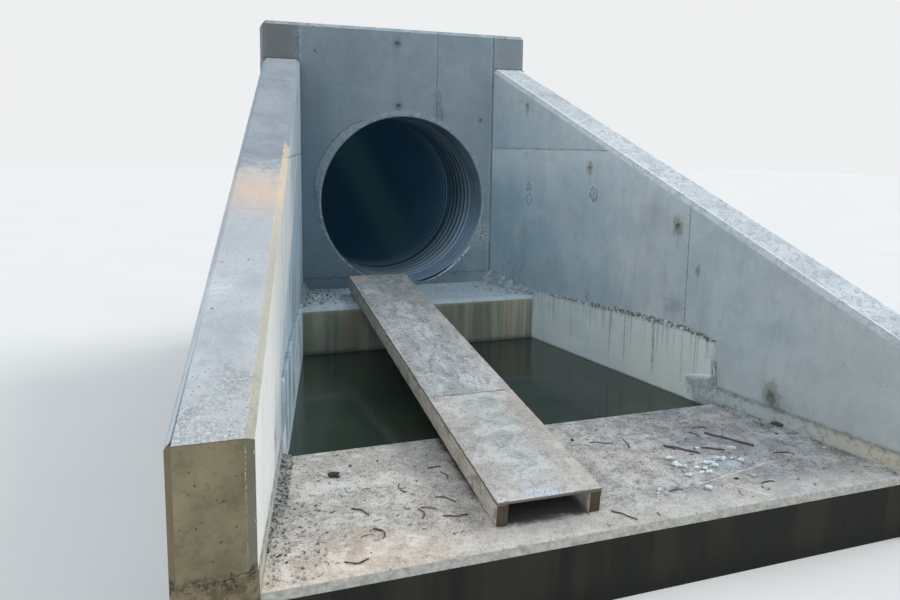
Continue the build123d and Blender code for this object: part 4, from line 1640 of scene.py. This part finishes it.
for name, sticks, thinnest, thickest, strays, finish, slot in (
    ("wire_offcuts", wires, 0.0028, 0.0042, 70, wire_finish, "pipe_steel"),
    ("wood_splinters", splinters, 0.006, 0.007, 14, splinter_finish, "joist_timber"),
):
    tangle = bmesh.new()
    for across, distance, heading, length, bend in sticks:
        offcut(tangle, Vector((across, -distance, apron_top)), math.radians(heading), length,
               draw.uniform(thinnest, thickest), bend, draw)
    for _ in range(strays):
        offcut(tangle, on_apron(draw), draw.uniform(0, 6.3), 0.02 + 0.05 * draw.random() ** 2,
               draw.uniform(0.0012, 0.0022), draw.uniform(-0.3, 0.3), draw)
    place_piece(name, to_mesh(name, tangle), finish, slot)


# Studio: a pale floor under a pale backdrop, soft light from all round and a broad lamp high on
# the right, and the camera at eye height, in front and to the left.

floor_finish = mottled("studio_floor", (208, 209, 209), (212, 212, 212), (0.6,), 0.9, (40.0,),
                       0.1)
floor_mesh = bpy.data.meshes.new("studio_floor")
far = 60.0
floor_mesh.from_pydata([(-far, -far, 0), (far, -far, 0), (far, far, 0), (-far, far, 0)], [],
                       [(0, 1, 2, 3)])
floor = show("studio_floor", floor_mesh, floor_finish)

# A dark backdrop at the barrel's far end keeps the mouth dark. It glows faintly with the painted
# dark of the barrel further in, a painted shaft of light and painted glints of ribs beyond the
# barrel's end.
# Its back is clear, so that from behind the barrel is seen open.
dark_finish, place = new_finish("dark_backdrop")
tree = dark_finish.node_tree
front_or_back = place.add("NewGeometry", output=6)
x, _, z = place.axes()
haze = mix(cloud(place, 0.9, 3) * ease(x * 0.6 - z * 0.4, -0.9, 0.1), (10, 27, 39),
           (24, 41, 55))
beam = band((x - pipe_x) * 0.88 + (z - pipe_z) * 0.48, -0.08, 0.17, 0.9)
haze = mix(beam * 0.6, haze, (24, 42, 46))
for rib, strength in ((1, 0.5), (2, 0.34), (3, 0.2), (4, 0.1)):
    off = place.minus((pipe_x - 0.026 * rib, barrel_end, pipe_z + 0.008 * rib))
    reach = off.scaled(1.0, 0.0, 1.0).length()
    glint = band(reach, pipe_radius - 0.0113 * rib, 0.008, 0.8) * ease(x * 0.8 - z * 0.6, -1.5, 0.2)
    haze = mix(glint * strength, haze, (64, 86, 98))
black = place.add("Emission", None, {"Color": haze})
clear = place.add("BsdfTransparent")
shown = place.add("MixShader", None, {0: front_or_back, 1: black, 2: clear})
tree.links.new(shown.socket, tree.nodes["Material Output"].inputs["Surface"])
disc = bmesh.new()
bmesh.ops.create_circle(
    disc, cap_ends=True, segments=96, radius=pipe_radius + wave_depth + sheet,
    matrix=Matrix.Translation((pipe_x, barrel_end + 0.001, pipe_z)) @ Matrix.Rotation(
        math.pi / 2, 4, "X"))
dark = show("dark_backdrop", to_mesh("dark_backdrop", disc), dark_finish)

scene = bpy.context.scene
world = bpy.data.worlds.new("studio")
scene.world = world
world.use_nodes = True
lit = Shade(world.node_tree, world.node_tree.nodes["Background"].outputs[0])
world.node_tree.nodes["Background"].inputs["Color"].default_value = (0.90, 0.96, 1.0, 1.0)
world.node_tree.nodes["Background"].inputs["Strength"].default_value = 0.88
seen = lit.add("Background", None, {"Color": paint(238, 239, 240)})
seen_by = lit.add("LightPath", None, None, 0)
for glossy_or_transmission in (3, 6):
    seen_by = seen_by | lit.add("LightPath", None, None, glossy_or_transmission)
shown = lit.add("MixShader", None, {0: seen_by, 1: lit, 2: seen})
world.node_tree.links.new(
    shown.socket, world.node_tree.nodes["World Output"].inputs["Surface"])

for name, energy, spread, towards, tint in (
    ("broad_lamp", 1.5, 24, (0.72, -0.10, 0.70), (1.0, 0.98, 0.94)),
    ("fill_lamp", 1.1, 60, (-0.62, -0.60, 0.50), (0.94, 0.97, 1.0)),
):
    lamp = bpy.data.lights.new(name, "SUN")
    lamp.energy = energy
    lamp.angle = math.radians(spread)
    lamp.color = tint
    lamp_object = bpy.data.objects.new(name, lamp)
    scene.collection.objects.link(lamp_object)
    lamp_object.rotation_euler = Vector(towards).to_track_quat("Z", "Y").to_euler()

camera_place = Vector((-2.1117, -7.7404, 2.3362))
camera_yaw, camera_pitch, camera_roll = 0.3407, 0.1347, 0.0141
focal_pixels = 737.6
centre_across, centre_down = 455.04, 244.66
image_width, image_height = 900, 600
camera_data = bpy.data.cameras.new("camera")
camera_data.sensor_width = 36.0
camera_data.lens = focal_pixels / image_width * camera_data.sensor_width
camera_data.shift_x = (image_width / 2 - centre_across) / image_width
camera_data.shift_y = (centre_down - image_height / 2) / image_width
camera_data.clip_end = 300.0
camera = bpy.data.objects.new("camera", camera_data)
scene.collection.objects.link(camera)
camera.matrix_world = (
    Matrix.Translation(camera_place)
    @ Matrix.Rotation(-camera_yaw, 4, "Z")
    @ Matrix.Rotation(math.pi / 2 - camera_pitch, 4, "X")
    @ Matrix.Rotation(camera_roll, 4, "Z")
)
scene.camera = camera
scene.view_settings.view_transform = "Standard"
